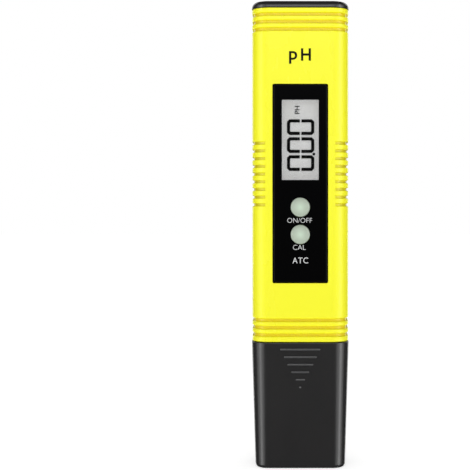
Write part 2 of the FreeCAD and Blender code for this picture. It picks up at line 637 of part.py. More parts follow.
def negative_contact():
    """Plate at the rear end with a bowed leaf spring, and a tail and foot like the front contact's."""
    y0, y1 = CHAMBER_HALF_DEPTH - CONTACT_THICK, CHAMBER_HALF_DEPTH
    plate = block(-CONTACT_HALF_WIDTH, CONTACT_HALF_WIDTH, y0, y1, HOLDER_FLOOR + 0.1, CONTACT_HIGH)
    tail = block(TAIL_NEAR, TAIL_FAR, y0, y1, FOOT_LOW, HOLDER_FLOOR + 1)
    foot = block(TAIL_NEAR, TAIL_FAR, 2.6, y1, FOOT_LOW, FOOT_LOW + CONTACT_THICK)
    touch = CELL_FRONT + 2 * CELL_LENGTH + 0.04
    bow = y0 - touch
    arc = (LEAF_CHORD ** 2 + bow ** 2) / (2 * bow)
    axis = [(x, touch + arc, CELL_HEIGHT) for x in (-FAR, FAR)]
    leaf = rod(arc, *axis).cut(rod(arc - 0.25, *axis))
    leaf = leaf.common(block(-2, 2, touch - 1, y0 + 0.1, HOLDER_FLOOR, CONTACT_HIGH))
    return plate.fuse([tail, foot, leaf]).removeSplitter()


def battery_cover():
    """Rounded top cover with a hollow plug that carries a seal."""
    cover = prism(grown(BODY, COVER_OVERHANG), COVER_LOW, TOTAL_HEIGHT)
    cover = round_edges(cover, COVER_ROUND, lambda e: lies_at(e, TOTAL_HEIGHT))
    plug = prism(grown(CAVITY, -PLUG_CLEAR), PLUG_LOW, COVER_LOW + 0.2)
    plug = plug.cut(prism(grown(CAVITY, -PLUG_CLEAR - COVER_WALL), 0, COVER_LOW - 0.8))
    low, high = COVER_SEAL_HEIGHT - 0.65, COVER_SEAL_HEIGHT + 0.65
    groove_floor = grown(CAVITY, -SEAL_CLEAR - COVER_SEAL - 0.02)
    groove = prism(grown(CAVITY, 1), low, high).cut(prism(groove_floor, 0, FAR))
    return cover.fuse(plug).cut(groove).removeSplitter()


def cover_seal():
    return seal_ring(grown(CAVITY, -SEAL_CLEAR - COVER_SEAL / 2), COVER_SEAL_HEIGHT, COVER_SEAL)


def guard_slot():
    """Arched opening through the front and back of the guard."""
    spring_line = SLOT_HIGH - SLOT_HALF_WIDTH
    slot = block(-SLOT_HALF_WIDTH, SLOT_HALF_WIDTH, -FAR, FAR, 0, spring_line)
    return slot.fuse(rod(SLOT_HALF_WIDTH, (0, -FAR, spring_line), (0, FAR, spring_line)))


def sensor_housing():
    """Plug held between the case halves, sealed spigot for the cap, and a slotted guard round the bulb."""
    plug = prism(grown(CAVITY, -PLUG_CLEAR), BODY_LOW - 0.05, PLUG_HIGH)
    lock_groove = prism(grown(CAVITY, 1), LOCK_LOW - 0.2, LOCK_HIGH + 0.2)
    lock_groove = lock_groove.cut(prism(grown(CAVITY, -LOCK_RIB - 0.15), 0, FAR))
    spigot = prism(SPIGOT, SPIGOT_LOW, BODY_LOW - 0.05)
    spigot = round_edges(spigot, 0.5, lambda e: lies_at(e, SPIGOT_LOW))
    guard = prism(GUARD, GUARD_LOW, SPIGOT_LOW + 0.1)
    guard = round_edges(guard, 0.6, lambda e: lies_at(e, GUARD_LOW))
    seal_groove = prism(grown(SPIGOT, 1), CAP_SEAL_HEIGHT - 0.75, CAP_SEAL_HEIGHT + 0.75)
    seal_groove = seal_groove.cut(prism(grown(CAP_MOUTH, -SEAL_CLEAR - CAP_SEAL - 0.02), 0, FAR))
    hollows = [prism(GUARD_BORE, 0, ROOF_LOW), prism(GEL_CHAMBER, ROOF_HIGH, FAR), guard_slot()]
    seal_bore = STEM_RADIUS + 2 * STEM_SEAL_RADIUS + 0.1
    bores = [upright(STEM_RADIUS + SLIP, 0, ROOF_LOW - 1, ROOF_HIGH + 1),
             upright(seal_bore, 0, STEM_SEAL_HEIGHT - 0.5, STEM_SEAL_HEIGHT + 0.5),
             upright(TUBE_RADIUS + SLIP, SIDE_SENSOR_X, ROOF_LOW - 1, ROOF_HIGH + 1),
             upright(JUNCTION_RADIUS + SLIP, -SIDE_SENSOR_X, ROOF_LOW - 1, ROOF_HIGH + 1)]
    housing = plug.fuse([spigot, guard]).cut([lock_groove, seal_groove] + hollows + bores)
    return housing.removeSplitter()


def cap_seal():
    return seal_ring(grown(CAP_MOUTH, -SEAL_CLEAR - CAP_SEAL / 2), CAP_SEAL_HEIGHT, CAP_SEAL)


def stem_seal():
    centreline = STEM_RADIUS + STEM_SEAL_RADIUS + SLIP
    return Part.makeTorus(centreline, STEM_SEAL_RADIUS, Vector(0, 0, STEM_SEAL_HEIGHT))


def electrode_stem():
    return upright(STEM_RADIUS, 0, STEM_LOW, STEM_HIGH).cut(upright(STEM_BORE, 0, 0, FAR))


def glass_bulb():
    """Thin sensing bulb with its neck and the shoulder that is fused to the stem."""
    centre = Vector(0, 0, BULB_HEIGHT)
    neck = upright(NECK_RADIUS, 0, BULB_HEIGHT, STEM_LOW)
    shoulder = upright(STEM_RADIUS, 0, STEM_LOW - 0.6, STEM_LOW)
    form = Part.makeSphere(BULB_RADIUS, centre).fuse([neck, shoulder])
    throat = upright(NECK_RADIUS - 0.4, 0, BULB_HEIGHT, STEM_LOW + 1)
    hollow = Part.makeSphere(BULB_RADIUS - BULB_WALL, centre).fuse(throat)
    return form.cut(hollow).removeSplitter()


def stem_stopper():
    """Flanged stopper in the top of the stem, with a hole for the silver wire."""
    bung = upright(STEM_BORE - SLIP, 0, STEM_HIGH - 3, STEM_HIGH + 0.5)
    flange = upright(STEM_RADIUS, 0, STEM_HIGH, STEM_HIGH + STOPPER_THICK)
    return bung.fuse(flange).cut(upright(SILVER_RADIUS + SLIP, 0, 0, FAR))


def silver_wire():
    """Inner reference wire with its coated tip in the bulb."""
    tip = upright(SILVER_TIP_RADIUS, 0, SILVER_TIP_LOW, SILVER_TIP_HIGH)
    return upright(SILVER_RADIUS, 0, SILVER_TIP_LOW + 0.4, STEM_HIGH + 2).fuse(tip)


def temperature_probe():
    """Closed steel tube that holds the thermistor."""
    end = TUBE_LOW + TUBE_RADIUS
    tip = Vector(SIDE_SENSOR_X, 0, end)
    bore = TUBE_RADIUS - TUBE_WALL
    outer = upright(TUBE_RADIUS, SIDE_SENSOR_X, end, TUBE_HIGH).fuse(Part.makeSphere(TUBE_RADIUS, tip))
    inner = upright(bore, SIDE_SENSOR_X, end, FAR).fuse(Part.makeSphere(bore, tip))
    return outer.cut(inner).removeSplitter()


def thermistor_bead():
    return Part.makeSphere(BEAD_RADIUS, Vector(SIDE_SENSOR_X, 0, BEAD_HEIGHT))


def thermistor_leads():
    """The bead's pair of wires, up the steel tube and over to the board."""
    pair = []
    for side in (-0.5, 0.5):
        apart = side * THERMISTOR_LEAD_APART
        x = SIDE_SENSOR_X + apart
        turn, end = (x, 0, THERMISTOR_LEAD_TURN), (x + apart / 2, BOARD_BACK, THERMISTOR_LEAD_END)
        route = [(x, 0, BEAD_HEIGHT), turn, end]
        pair.append(lead(route, THERMISTOR_LEAD_RADIUS).cut(thermistor_bead()))
    return pair


def reference_junction():
    """Porous plug through the housing's roof, between the sample and the reference chamber."""
    return upright(JUNCTION_RADIUS, -SIDE_SENSOR_X, JUNCTION_LOW, JUNCTION_HIGH)


def reference_wire():
    return upright(REFERENCE_RADIUS, -SIDE_SENSOR_X, REFERENCE_LOW, PLUG_HIGH + 1.5)


def potting_plug():
    """Resin that closes the reference chamber round the stem, the probe tube and the reference wire."""
    holes = [upright(STEM_RADIUS, 0, 0, FAR), upright(TUBE_RADIUS, SIDE_SENSOR_X, 0, FAR),
             upright(REFERENCE_RADIUS, -SIDE_SENSOR_X, 0, FAR)]
    return prism(GEL_CHAMBER, POTTING_LOW, PLUG_HIGH - 0.2).cut(holes)


def electrolyte_gel():
    """Gelled salt solution that fills the reference chamber."""
    skin = 0.02
    holes = [upright(STEM_RADIUS + skin, 0, 0, FAR), upright(TUBE_RADIUS + skin, SIDE_SENSOR_X, 0, FAR),
             upright(JUNCTION_RADIUS + skin, -SIDE_SENSOR_X, 0, JUNCTION_HIGH + skin),
             upright(REFERENCE_RADIUS + skin, -SIDE_SENSOR_X, REFERENCE_LOW - 0.1, FAR)]
    return prism(grown(GEL_CHAMBER, -skin), ROOF_HIGH + skin, POTTING_LOW - skin).cut(holes)


def cap_rib(length, z, side):
    """Low rounded bar on the cap's tapered front (side -1) or back (side 1)."""
    face = (CAP_BASE[1] + (CAP_TOP[1] - CAP_BASE[1]) * z / CAP_HIGH) / 2
    y = side * (face + CAP_RIB_PROUD - CAP_RIB_RADIUS)
    half = length / 2 - CAP_RIB_RADIUS
    if half <= 0:
        return Part.makeSphere(CAP_RIB_RADIUS, Vector(0, y, z))
    ends = [Part.makeSphere(CAP_RIB_RADIUS, Vector(x, y, z)) for x in (-half, half)]
    return rod(CAP_RIB_RADIUS, (-half, y, z), (half, y, z)).fuse(ends)


def protective_cap():
    form = Part.makeLoft([outline(*CAP_BASE, 0), outline(*CAP_TOP, CAP_HIGH)], True, True)
    form = round_edges(form, CAP_ROUND, lambda e: lies_at(e, 0))
    form = round_edges(form, END_ROUND, lambda e: lies_at(e, CAP_HIGH))
    form = form.cut([prism(CAP_MOUTH, CAP_MOUTH_LOW, FAR), prism(CAP_CHAMBER, CAP_FLOOR, CAP_HIGH)])
    ribs = [(length, CAP_RIB_TOP - CAP_RIB_PITCH * i) for i, length in enumerate(CAP_RIB_LENGTHS)]
    form = form.fuse([cap_rib(length, z, side) for length, z in ribs for side in (-1, 1)])
    return form.removeSplitter()


def storage_sponge():
    return prism(grown(CAP_CHAMBER, -0.3), CAP_FLOOR, CAP_FLOOR + SPONGE_THICK)


tube = case_tube()
save("front_shell", front_shell(tube))
save("rear_shell", rear_shell(tube))
save("face_label", face_label())
save("display_window", display_window())

for key, key_height in KEY_HEIGHTS.items():
    save(key + "_button", key_cap(key_height))
    save(key + "_plunger", key_plunger(key_height))
    save(key + "_switch", key_switch(key_height))

save("lcd_holder", lcd_holder())
for layer_name, layer in lcd_layers().items():
    save(layer_name, layer)
save("zebra_strip_left", zebra_strip(-1))
save("zebra_strip_right", zebra_strip(1))

save("circuit_board", circuit_board())
save("board_screws", [board_screw(x, z) for x in (-POST_X, POST_X) for z in POST_HEIGHTS])
save("controller_blob", controller_blob())
save("amplifier_chip", amplifier_chip())
save("crystal_can", crystal_can())
save("chip_parts", chip_parts())

save("battery_holder", battery_holder())
save("battery_cell_front", button_cell(CELL_FRONT))
save("battery_cell_rear", button_cell(CELL_FRONT + CELL_LENGTH + 0.02))
save("positive_contact", positive_contact())
save("negative_contact", negative_contact())
save("battery_cover", battery_cover())
save("cover_seal", cover_seal())

save("sensor_housing", sensor_housing())
save("cap_seal", cap_seal())
save("stem_seal", stem_seal())
save("electrode_stem", electrode_stem())
save("glass_bulb", glass_bulb())
save("stem_stopper", stem_stopper())
save("silver_wire", silver_wire())
save("temperature_probe", temperature_probe())
save("thermistor_bead", thermistor_bead())
save("reference_junction", reference_junction())
save("reference_wire", reference_wire())
save("potting_plug", potting_plug())
save("electrolyte_gel", electrolyte_gel())

battery_red_route = [(-3.1, 1.0, FOOT_LOW), (-3.1, 1.0, 126), (-3.1, BOARD_BACK, 121.5)]
battery_black_route = [(3.1, 3.8, FOOT_LOW), (3.1, 3.8, 124), (3.1, BOARD_BACK, 117.5)]
electrode_route = [(0, 0, STEM_HIGH + 2), (0, 0, 65), (0, BOARD_BACK, 69.5)]
reference_x = -SIDE_SENSOR_X
reference_route = [(reference_x, 0, PLUG_HIGH + 1.5), (reference_x, 0, 61), (reference_x, BOARD_BACK, 65.5)]
save("battery_lead_red", lead(battery_red_route, LEAD_RADIUS))
save("battery_lead_black", lead(battery_black_route, LEAD_RADIUS))
save("electrode_lead", lead(electrode_route, LEAD_RADIUS))
save("reference_lead", lead(reference_route, LEAD_RADIUS))
save("thermistor_leads", thermistor_leads())

save("protective_cap", protective_cap())
save("storage_sponge", storage_sponge())
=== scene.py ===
import json
import math

import bmesh
import bpy
from mathutils import Euler, Matrix, Vector


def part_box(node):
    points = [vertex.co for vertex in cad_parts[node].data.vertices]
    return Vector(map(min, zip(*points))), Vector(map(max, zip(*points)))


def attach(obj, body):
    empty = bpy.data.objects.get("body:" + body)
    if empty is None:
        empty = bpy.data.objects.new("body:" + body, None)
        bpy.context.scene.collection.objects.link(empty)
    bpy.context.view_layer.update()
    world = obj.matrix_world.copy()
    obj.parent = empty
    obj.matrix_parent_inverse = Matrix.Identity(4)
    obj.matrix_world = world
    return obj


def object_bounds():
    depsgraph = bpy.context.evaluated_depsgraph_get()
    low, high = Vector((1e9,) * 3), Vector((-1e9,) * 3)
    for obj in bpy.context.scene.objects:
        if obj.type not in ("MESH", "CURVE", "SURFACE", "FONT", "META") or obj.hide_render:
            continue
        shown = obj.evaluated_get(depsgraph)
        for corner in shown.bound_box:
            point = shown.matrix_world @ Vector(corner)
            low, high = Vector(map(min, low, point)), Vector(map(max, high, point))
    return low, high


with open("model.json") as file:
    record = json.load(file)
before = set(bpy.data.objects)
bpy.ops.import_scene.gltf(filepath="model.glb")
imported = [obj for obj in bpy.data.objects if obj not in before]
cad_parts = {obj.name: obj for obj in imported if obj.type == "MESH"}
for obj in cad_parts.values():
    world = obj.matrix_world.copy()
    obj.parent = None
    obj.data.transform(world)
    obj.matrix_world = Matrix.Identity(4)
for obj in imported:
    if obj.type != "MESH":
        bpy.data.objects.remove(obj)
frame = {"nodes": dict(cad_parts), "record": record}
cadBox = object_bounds()
nodes = frame["nodes"]
scene = bpy.context.scene
mm = 0.001


class Wire:
    # one output socket; arithmetic on it adds Math nodes
    def __init__(self, graph, socket):
        self.graph = graph
        self.socket = socket

    def calc(self, operation, other, swapped=False):
        first, second = (other, self) if swapped else (self, other)
        return self.graph.add("ShaderNodeMath", {"operation": operation}, {0: first, 1: second})

    def __add__(self, other):
        return self.calc("ADD", other)

    def __radd__(self, other):
        return self.calc("ADD", other, True)

    def __sub__(self, other):
        return self.calc("SUBTRACT", other)

    def __rsub__(self, other):
        return self.calc("SUBTRACT", other, True)

    def __mul__(self, other):
        return self.calc("MULTIPLY", other)

    def __rmul__(self, other):
        return self.calc("MULTIPLY", other, True)

    def __truediv__(self, other):
        return self.calc("DIVIDE", other)

    def __rtruediv__(self, other):
        return self.calc("DIVIDE", other, True)

    def __abs__(self):
        return self.calc("ABSOLUTE", 0.0)

    def __lt__(self, other):
        return self.calc("LESS_THAN", other)


class Graph:
    # a shader or geometry tree that is written one node at a time
    def __init__(self, tree):
        self.tree = tree

    def add(self, kind, settings=None, sockets=None, output=0):
        node = self.tree.nodes.new(kind)
        for key, value in (settings or {}).items():
            if key == "stops":
                stops = node.color_ramp.elements
                while len(stops) < len(value):
                    stops.new(0.5)
                for element, (position, colour) in zip(stops, value):
                    element.position = position
                    element.color = colour
            else:
                setattr(node, key, value)
        for key, value in (sockets or {}).items():
            for single in value if isinstance(value, list) else [value]:
                if isinstance(single, Wire):
                    self.tree.links.new(single.socket, node.inputs[key])
                else:
                    node.inputs[key].default_value = single
        return Wire(self, node.outputs[output]) if node.outputs else None


def solid(colour):
    return (colour[0], colour[1], colour[2], 1.0)


def startMaterial(name):
    material = bpy.data.materials.new(name)
    material.use_nodes = True
    material.node_tree.nodes.clear()
    return material, Graph(material.node_tree)


def place(graph):
    return graph.add("ShaderNodeTexCoord", output="Object")


def coordinates(graph, where):
    # the three coordinates of a vector, each a wire of its own
    parts = graph.add("ShaderNodeSeparateXYZ", {}, {"Vector": where}).socket.node.outputs
    return [Wire(graph, parts[axis]) for axis in "XYZ"]


def stretched(graph, scale, turn=(0, 0, 0)):
    return graph.add("ShaderNodeMapping", {}, {"Vector": place(graph), "Scale": scale, "Rotation": turn})


def cloud(graph, where, size, detail=2.0):
    # soft noise whose blobs are about this many metres across, 0 to 1
    return graph.add("ShaderNodeTexNoise", {}, {"Vector": where, "Scale": 1 / size, "Detail": detail})


def cells(graph, where, size):
    # how far a point is from the middle of its cell, for cells about this many metres across
    return graph.add("ShaderNodeTexVoronoi", {}, {"Vector": where, "Scale": 1 / size})


def greys(graph, value, stops):
    # value read through a grey ramp of (position, grey) stops
    coloured = [(position, (grey, grey, grey, 1)) for position, grey in stops]
    return graph.add("ShaderNodeValToRGB", {"stops": coloured}, {"Fac": value})


def ramp(graph, value, low, high, dark=0.0, light=1.0):
    # the part of value between low and high, spread from dark to light
    return greys(graph, value, [(low, dark), (high, light)])


def specks(graph, where, size, reach):
    # one soft dot in the middle of each cell
    return ramp(graph, cells(graph, where, size), 0.0, reach, 1.0, 0.0)


def tint(graph, factor, first, second):
    return graph.add("ShaderNodeMix", {"data_type": "RGBA"}, {0: factor, 6: first, 7: second}, output=2)


def bump(graph, height, depth, strength=1.0, under=None):
    sockets = {"Height": height, "Distance": depth, "Strength": strength}
    if under is not None:
        sockets["Normal"] = under
    return graph.add("ShaderNodeBump", {}, sockets)


def finishMaterial(graph, sockets):
    shader = graph.add("ShaderNodeBsdfPrincipled", {}, sockets)
    graph.add("ShaderNodeOutputMaterial", {}, {"Surface": shader})


def sunkDepth(graph, halfWide, halfDeep, corner):
    # millimetres that a point lies inside the case's plain rounded outline, and its height
    side, face, height = coordinates(graph, place(graph))
    across = abs(side) - (halfWide - corner)
    along = abs(face) - (halfDeep - corner)
    beyondX, beyondY = across.calc("MAXIMUM", 0.0), along.calc("MAXIMUM", 0.0)
    outside = (beyondX * beyondX + beyondY * beyondY).calc("SQRT", 0.0)
    inside = across.calc("MAXIMUM", along).calc("MINIMUM", 0.0)
    return (corner - outside - inside) / mm, height


markWay = (1, 1, 0.35)                                # handling marks run up and down


def mouldedPlastic(name, look):
    # spark-eroded mould skin, faint flow clouds, and handling marks in the gloss; where the look asks, painted
    # shade in the case's grooves and a painted highlight on the cap's ribs
    material, graph = startMaterial(name)
    where = place(graph)
    flow = cloud(graph, where, look["flowSize"], 3.0)
    body = tint(graph, flow, solid(look["colour"]), solid(look["flowColour"]))
    if "grooveShadeColour" in look:                        # painted shade: the colour is darkened and turned orange on the groove floors, darker still in the grip grooves, by how far a point lies inside the case's outline
        sunk, height = sunkDepth(graph, look["halfWide"], look["halfDeep"], look["corner"])
        grips = abs(height - look["gripMiddle"]) < look["gripReach"]
        shade = tint(graph, grips, solid(look["grooveShadeColour"]), solid(look["gripShadeColour"]))
        deep = greys(graph, sunk / look["grooveSpan"], look["grooveStops"])
        grooved = abs(height - look["grooveMiddle"]) < look["grooveReach"]
        body = tint(graph, deep * grooved, body, shade)
    if "ribHighlightColour" in look:                           # painted highlight: the cap's ribs are painted paler, patchily, where they stand proud of the face
        depth, height = coordinates(graph, where)[1:]
        face = look["baseFace"] + height * ((look["topFace"] - look["baseFace"]) / look["capHigh"])
        proud = (abs(depth) - face) / look["ribProud"]
        ribHighlightMask = greys(graph, proud, look["ribHighlightStops"]) * (look["ribHighlightEven"] + flow * look["ribHighlightPatchy"])
        body = tint(graph, ribHighlightMask, body, solid(look["ribHighlightColour"]))
    marks = cloud(graph, stretched(graph, markWay), look["markSize"], 5.0)
    grain = cloud(graph, where, look["grainSize"], 2.0)
    roughness = look["roughness"] - look["roughnessSpread"] / 2 + marks * look["roughnessSpread"]
    waves = bump(graph, flow, look["waveDepth"])
    skin = bump(graph, grain, look["grainDepth"], under=waves)
    finishMaterial(graph, {
        "Base Color": body, "Roughness": roughness, "Normal": skin, "IOR": look["ior"],
        "Specular IOR Level": look.get("specular", 0.5)})
    return material


def printedFilm(name, look):
    # polyester overlay: fine reverse-printed grain under a faintly wavy gloss
    speckReach, speckMatt, grainMatt = 0.06, 0.2, 0.06
    material, graph = startMaterial(name)
    where = place(graph)
    grain = cloud(graph, where, look["grainSize"], 2.0)
    wave = cloud(graph, where, look["waveSize"], 2.0)
    dust = specks(graph, where, look["dustSize"], speckReach)
    finishMaterial(graph, {
        "Base Color": tint(graph, grain, solid(look["colour"]), solid(look["grainColour"])),
        "Roughness": look["roughness"] + grain * grainMatt + dust * speckMatt,
        "Normal": bump(graph, wave, look["waveDepth"]), "IOR": 1.5, "Specular IOR Level": look["specular"]})
    return material


def clearSheet(name, look):
    # light goes straight through, and only the gloss and a trace of haze stay
    hazeMatt = 0.08
    material, graph = startMaterial(name)
    where = place(graph)
    haze = cloud(graph, where, look["hazeSize"], 4.0)
    finishMaterial(graph, {
        "Base Color": tint(graph, haze, solid(look["colour"]), solid(look["hazeColour"])),
        "Roughness": look["roughness"] + haze * hazeMatt, "Alpha": look["alpha"] + haze * look["alphaSpread"],
        "Normal": bump(graph, haze, look["waveDepth"]), "IOR": look["ior"]})
    return material


def siliconeRubber(name, look, centre):
    # soft-touch key: milky, with painted shade darkening it towards its rim and a little painted highlight at
    # the very edge, and a fine matt skin that dust clings to
    lintReach, lintShare, skinMatt = 0.08, 0.25, 0.12
    material, graph = startMaterial(name)
    where = place(graph)
    around = graph.add("ShaderNodeMapping", {}, {
        "Vector": where, "Location": (-centre.x, 0.0, -centre.z), "Scale": (1.0, 0.0, 1.0)})
    away = graph.add("ShaderNodeVectorMath", {"operation": "LENGTH"}, {0: around}, output="Value")
    # painted shade towards the key's rim, eased at the very edge as a painted highlight
    rimShade = greys(graph, away / look["radius"], look["rimShadeStops"])
    skin = cloud(graph, where, look["skinSize"], 3.0)
    milk = cloud(graph, where, look["milkSize"], 2.0)
    lint = specks(graph, where, look["lintSize"], lintReach)
    body = tint(graph, milk, solid(look["colour"]), solid(look["milkColour"]))
    body = tint(graph, rimShade, body, solid(look["rimShadeColour"]))
    finishMaterial(graph, {
        "Base Color": tint(graph, lint * lintShare, body, solid(look["lintColour"])),
        "Roughness": look["roughness"] + skin * skinMatt,
        "Normal": bump(graph, skin, look["skinDepth"]), "IOR": 1.43, "Subsurface Weight": look["subsurface"],
        "Subsurface Radius": (1.0, 1.0, 0.9), "Subsurface Scale": look["lightReach"]})
    return material


def brushedMetal(name, look):
    # drawn or rolled metal: long fine scratches one way and a little stain
    stainFrom, stainFull = 0.35, 0.7
    material, graph = startMaterial(name)
    scratches = cloud(graph, stretched(graph, look["grainWay"]), look["scratchSize"], 4.0)
    stain = ramp(graph, cloud(graph, place(graph), look["stainSize"], 4.0), stainFrom, stainFull)
    finishMaterial(graph, {
        "Base Color": tint(graph, stain, solid(look["colour"]), solid(look["stainColour"])),
        "Metallic": 1.0, "Roughness": look["roughness"] + scratches * look["roughnessSpread"],
        "Normal": bump(graph, scratches, look["scratchDepth"])})
    return material


def softRubber(name, look):
    # seals and wire sleeves: matt, slightly blooming rubber
    bloomFrom, bloomFull, bloomMatt = 0.4, 0.75, 0.15
    material, graph = startMaterial(name)
    where = place(graph)
    bloom = cloud(graph, where, look["bloomSize"], 4.0)
    skin = cloud(graph, where, look["skinSize"], 2.0)
    finishMaterial(graph, {
        "Base Color": tint(graph, ramp(graph, bloom, bloomFrom, bloomFull),
                           solid(look["colour"]), solid(look["bloomColour"])),
        "Roughness": look["roughness"] + bloom * bloomMatt, "Normal": bump(graph, skin, look["skinDepth"])})
    return material


def zebraRubber(name, look):
    # thin black conducting layers between pink insulating ones, stacked along the strip
    bandFrom, bandFull, bandMatt, waver = 0.55, 0.7, 0.15, 0.4
    material, graph = startMaterial(name)
    wave = graph.add("ShaderNodeTexWave", {"bands_direction": "Z"}, {
        "Vector": place(graph), "Scale": look["bandScale"], "Distortion": waver, "Detail": 1.0})
    bands = ramp(graph, wave, bandFrom, bandFull)
    finishMaterial(graph, {
        "Base Color": tint(graph, bands, solid(look["colour"]), solid(look["bandColour"])),
        "Roughness": look["roughness"] + bands * bandMatt, "Normal": bump(graph, wave, look["bandDepth"])})
    return material


def circuitBoard(name, look):
    # solder mask over copper runs that step across the board, with gilt holes and a trace of glass weave
    plain, raised, track = (0, 0, 0), (0.35, 0.35, 0.35), (1, 1, 1)    # bricks of two heights between tracks
    holeFull, holeEdge, holeShine, weaveMatt = 0.06, 0.1, 0.8, 0.15
    material, graph = startMaterial(name)
    bricks = graph.add("ShaderNodeTexBrick", {}, {
        "Vector": stretched(graph, (1, 1, 1), (math.pi / 2, 0, 0)), "Scale": look["trackScale"],
        "Mortar Size": look["trackWidth"], "Mortar Smooth": 0.2, "Brick Width": look["trackRun"],
        "Row Height": look["trackRow"], "Color1": solid(plain), "Color2": solid(raised),
        "Mortar": solid(track)})
    spots = cells(graph, stretched(graph, (1, 0, 1)), look["viaSize"])
    holes = ramp(graph, spots, holeFull, holeEdge, 1.0, 0.0)
    weave = cloud(graph, place(graph), look["weaveSize"], 2.0)
    mask = tint(graph, bricks, solid(look["colour"]), solid(look["trackColour"]))
    mask = tint(graph, holes, mask, solid(look["viaColour"]))
    finishMaterial(graph, {
        "Base Color": mask, "Roughness": look["roughness"] + weave * weaveMatt, "Metallic": holes * holeShine,
        "Normal": bump(graph, bricks, look["trackDepth"], under=bump(graph, weave, look["trackDepth"] / 3))})
    return material


def blownGlass(name, look):
    # electrode glass with the faint draw lines and a little salt film that dries on it
    drawWay, saltFrom, saltFull, saltMatt = (1, 1, 0.08), 0.6, 0.9, 0.5
    material, graph = startMaterial(name)
    lines = cloud(graph, stretched(graph, drawWay), look["lineSize"], 2.0)
    film = cloud(graph, place(graph), look["saltSize"], 5.0)
    salt = ramp(graph, film, saltFrom, saltFull, 0.0, look["saltAmount"])
    finishMaterial(graph, {
        "Base Color": tint(graph, salt, solid(look["colour"]), solid(look["saltColour"])),
        "Roughness": look["roughness"] + salt * saltMatt, "Normal": bump(graph, lines, look["lineDepth"]),
        "IOR": look["ior"], "Transmission Weight": look["transmission"]})
    return material


def openFoam(name, look):
    # open cells of two sizes: their walls stand, their middles sink and are painted darker as shade
    smaller, largeShare, smallShare = 0.45, 0.7, 0.3
    wallFrom, wallFull, dampFrom, dampFull, dampShare, dampShine = 0.15, 0.6, 0.4, 0.8, 0.5, 0.25
    material, graph = startMaterial(name)
    where = place(graph)
    large = cells(graph, where, look["cellSize"])
    small = cells(graph, where, look["cellSize"] * smaller)
    walls = ramp(graph, large * largeShare + small * smallShare, wallFrom, wallFull)
    damp = cloud(graph, where, look["dampSize"], 2.0)
    # painted shade in the cell middles
    foam = tint(graph, walls, solid(look["holeShadeColour"]), solid(look["colour"]))
    wet = ramp(graph, damp, dampFrom, dampFull, 0.0, dampShare)
    finishMaterial(graph, {
        "Base Color": tint(graph, wet, foam, solid(look["dampColour"])),
        "Roughness": look["roughness"] - damp * dampShine, "Normal": bump(graph, walls, look["cellDepth"])})
    return material


def castResin(name, look):
    # poured filling: glossy with a meniscus ripple and trapped bubbles
    bubbleInner, bubbleOuter, bubbleLift, rippleMatt = 0.05, 0.16, 0.3, 0.1
    material, graph = startMaterial(name)
    where = place(graph)
    ripple = cloud(graph, where, look["rippleSize"], 2.0)
    bubbles = ramp(graph, cells(graph, where, look["bubbleSize"]), bubbleInner, bubbleOuter)
    finishMaterial(graph, {
        "Base Color": tint(graph, bubbles, solid(look["bubbleColour"]), solid(look["colour"])),
        "Roughness": look["roughness"] + ripple * rippleMatt, "Alpha": look["alpha"],
        "Normal": bump(graph, ripple + bubbles * bubbleLift, look["rippleDepth"]), "IOR": 1.5})
    return material


def sinteredGrain(name, look):
    # pressed or fired granules: porous junction, ceramic parts, display backing; the display backing also
    # carries a painted glow
    grainMatt = 0.1
    material, graph = startMaterial(name)
    where = place(graph)
    grains = cells(graph, where, look["grainSize"])
    shade = cloud(graph, where, look["shadeSize"], 3.0)
    mixed = tint(graph, shade, solid(look["colour"]), solid(look["shadeColour"]))
    # painted light: a part may be given a glow of its own; only the display backing uses it
    finishMaterial(graph, {
        "Base Color": tint(graph, grains * look["grainShade"], mixed, solid(look["grainColour"])),
        "Roughness": look["roughness"] + grains * grainMatt,
        "Normal": bump(graph, grains, look["grainDepth"]),
        "Emission Color": (1, 1, 1, 1), "Emission Strength": look.get("paintedGlow", 0.0)})
    return material


caseSide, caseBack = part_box("front_shell")[1].x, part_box("rear_shell")[1].y
yellowCase = {
    "colour": (0.955, 0.935, 0.016), "flowColour": (0.965, 0.95, 0.020),
    # the groove and grip colours are painted shade on the groove floors, the grips darker
    "grooveShadeColour": (0.81, 0.645, 0.006), "grooveMiddle": 97.5 * mm, "grooveReach": 54.3 * mm,
    "grooveSpan": 2.0, "grooveStops": [(0.13, 0.0), (0.29, 1.0), (0.40, 1.0), (0.50, 0.0)],
    "gripShadeColour": (0.60, 0.49, 0.008), "gripMiddle": 97.85 * mm, "gripReach": 14 * mm,
    "halfWide": caseSide, "halfDeep": caseBack, "corner": 5.6 * mm,
    "flowSize": 14 * mm, "markSize": 7 * mm, "grainSize": 0.22 * mm, "specular": 0.35,
    "roughness": 0.27, "roughnessSpread": 0.08, "ior": 1.5,
    "waveDepth": 0.005 * mm, "grainDepth": 0.0012 * mm}
blackPlastic = {
    "colour": (0.0165, 0.0160, 0.0165), "flowColour": (0.0205, 0.0200, 0.0205),
    "flowSize": 12 * mm, "markSize": 6 * mm, "grainSize": 0.25 * mm,
    "roughness": 0.26, "roughnessSpread": 0.05, "ior": 1.55,
    "waveDepth": 0.004 * mm, "grainDepth": 0.0015 * mm}
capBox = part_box("protective_cap")
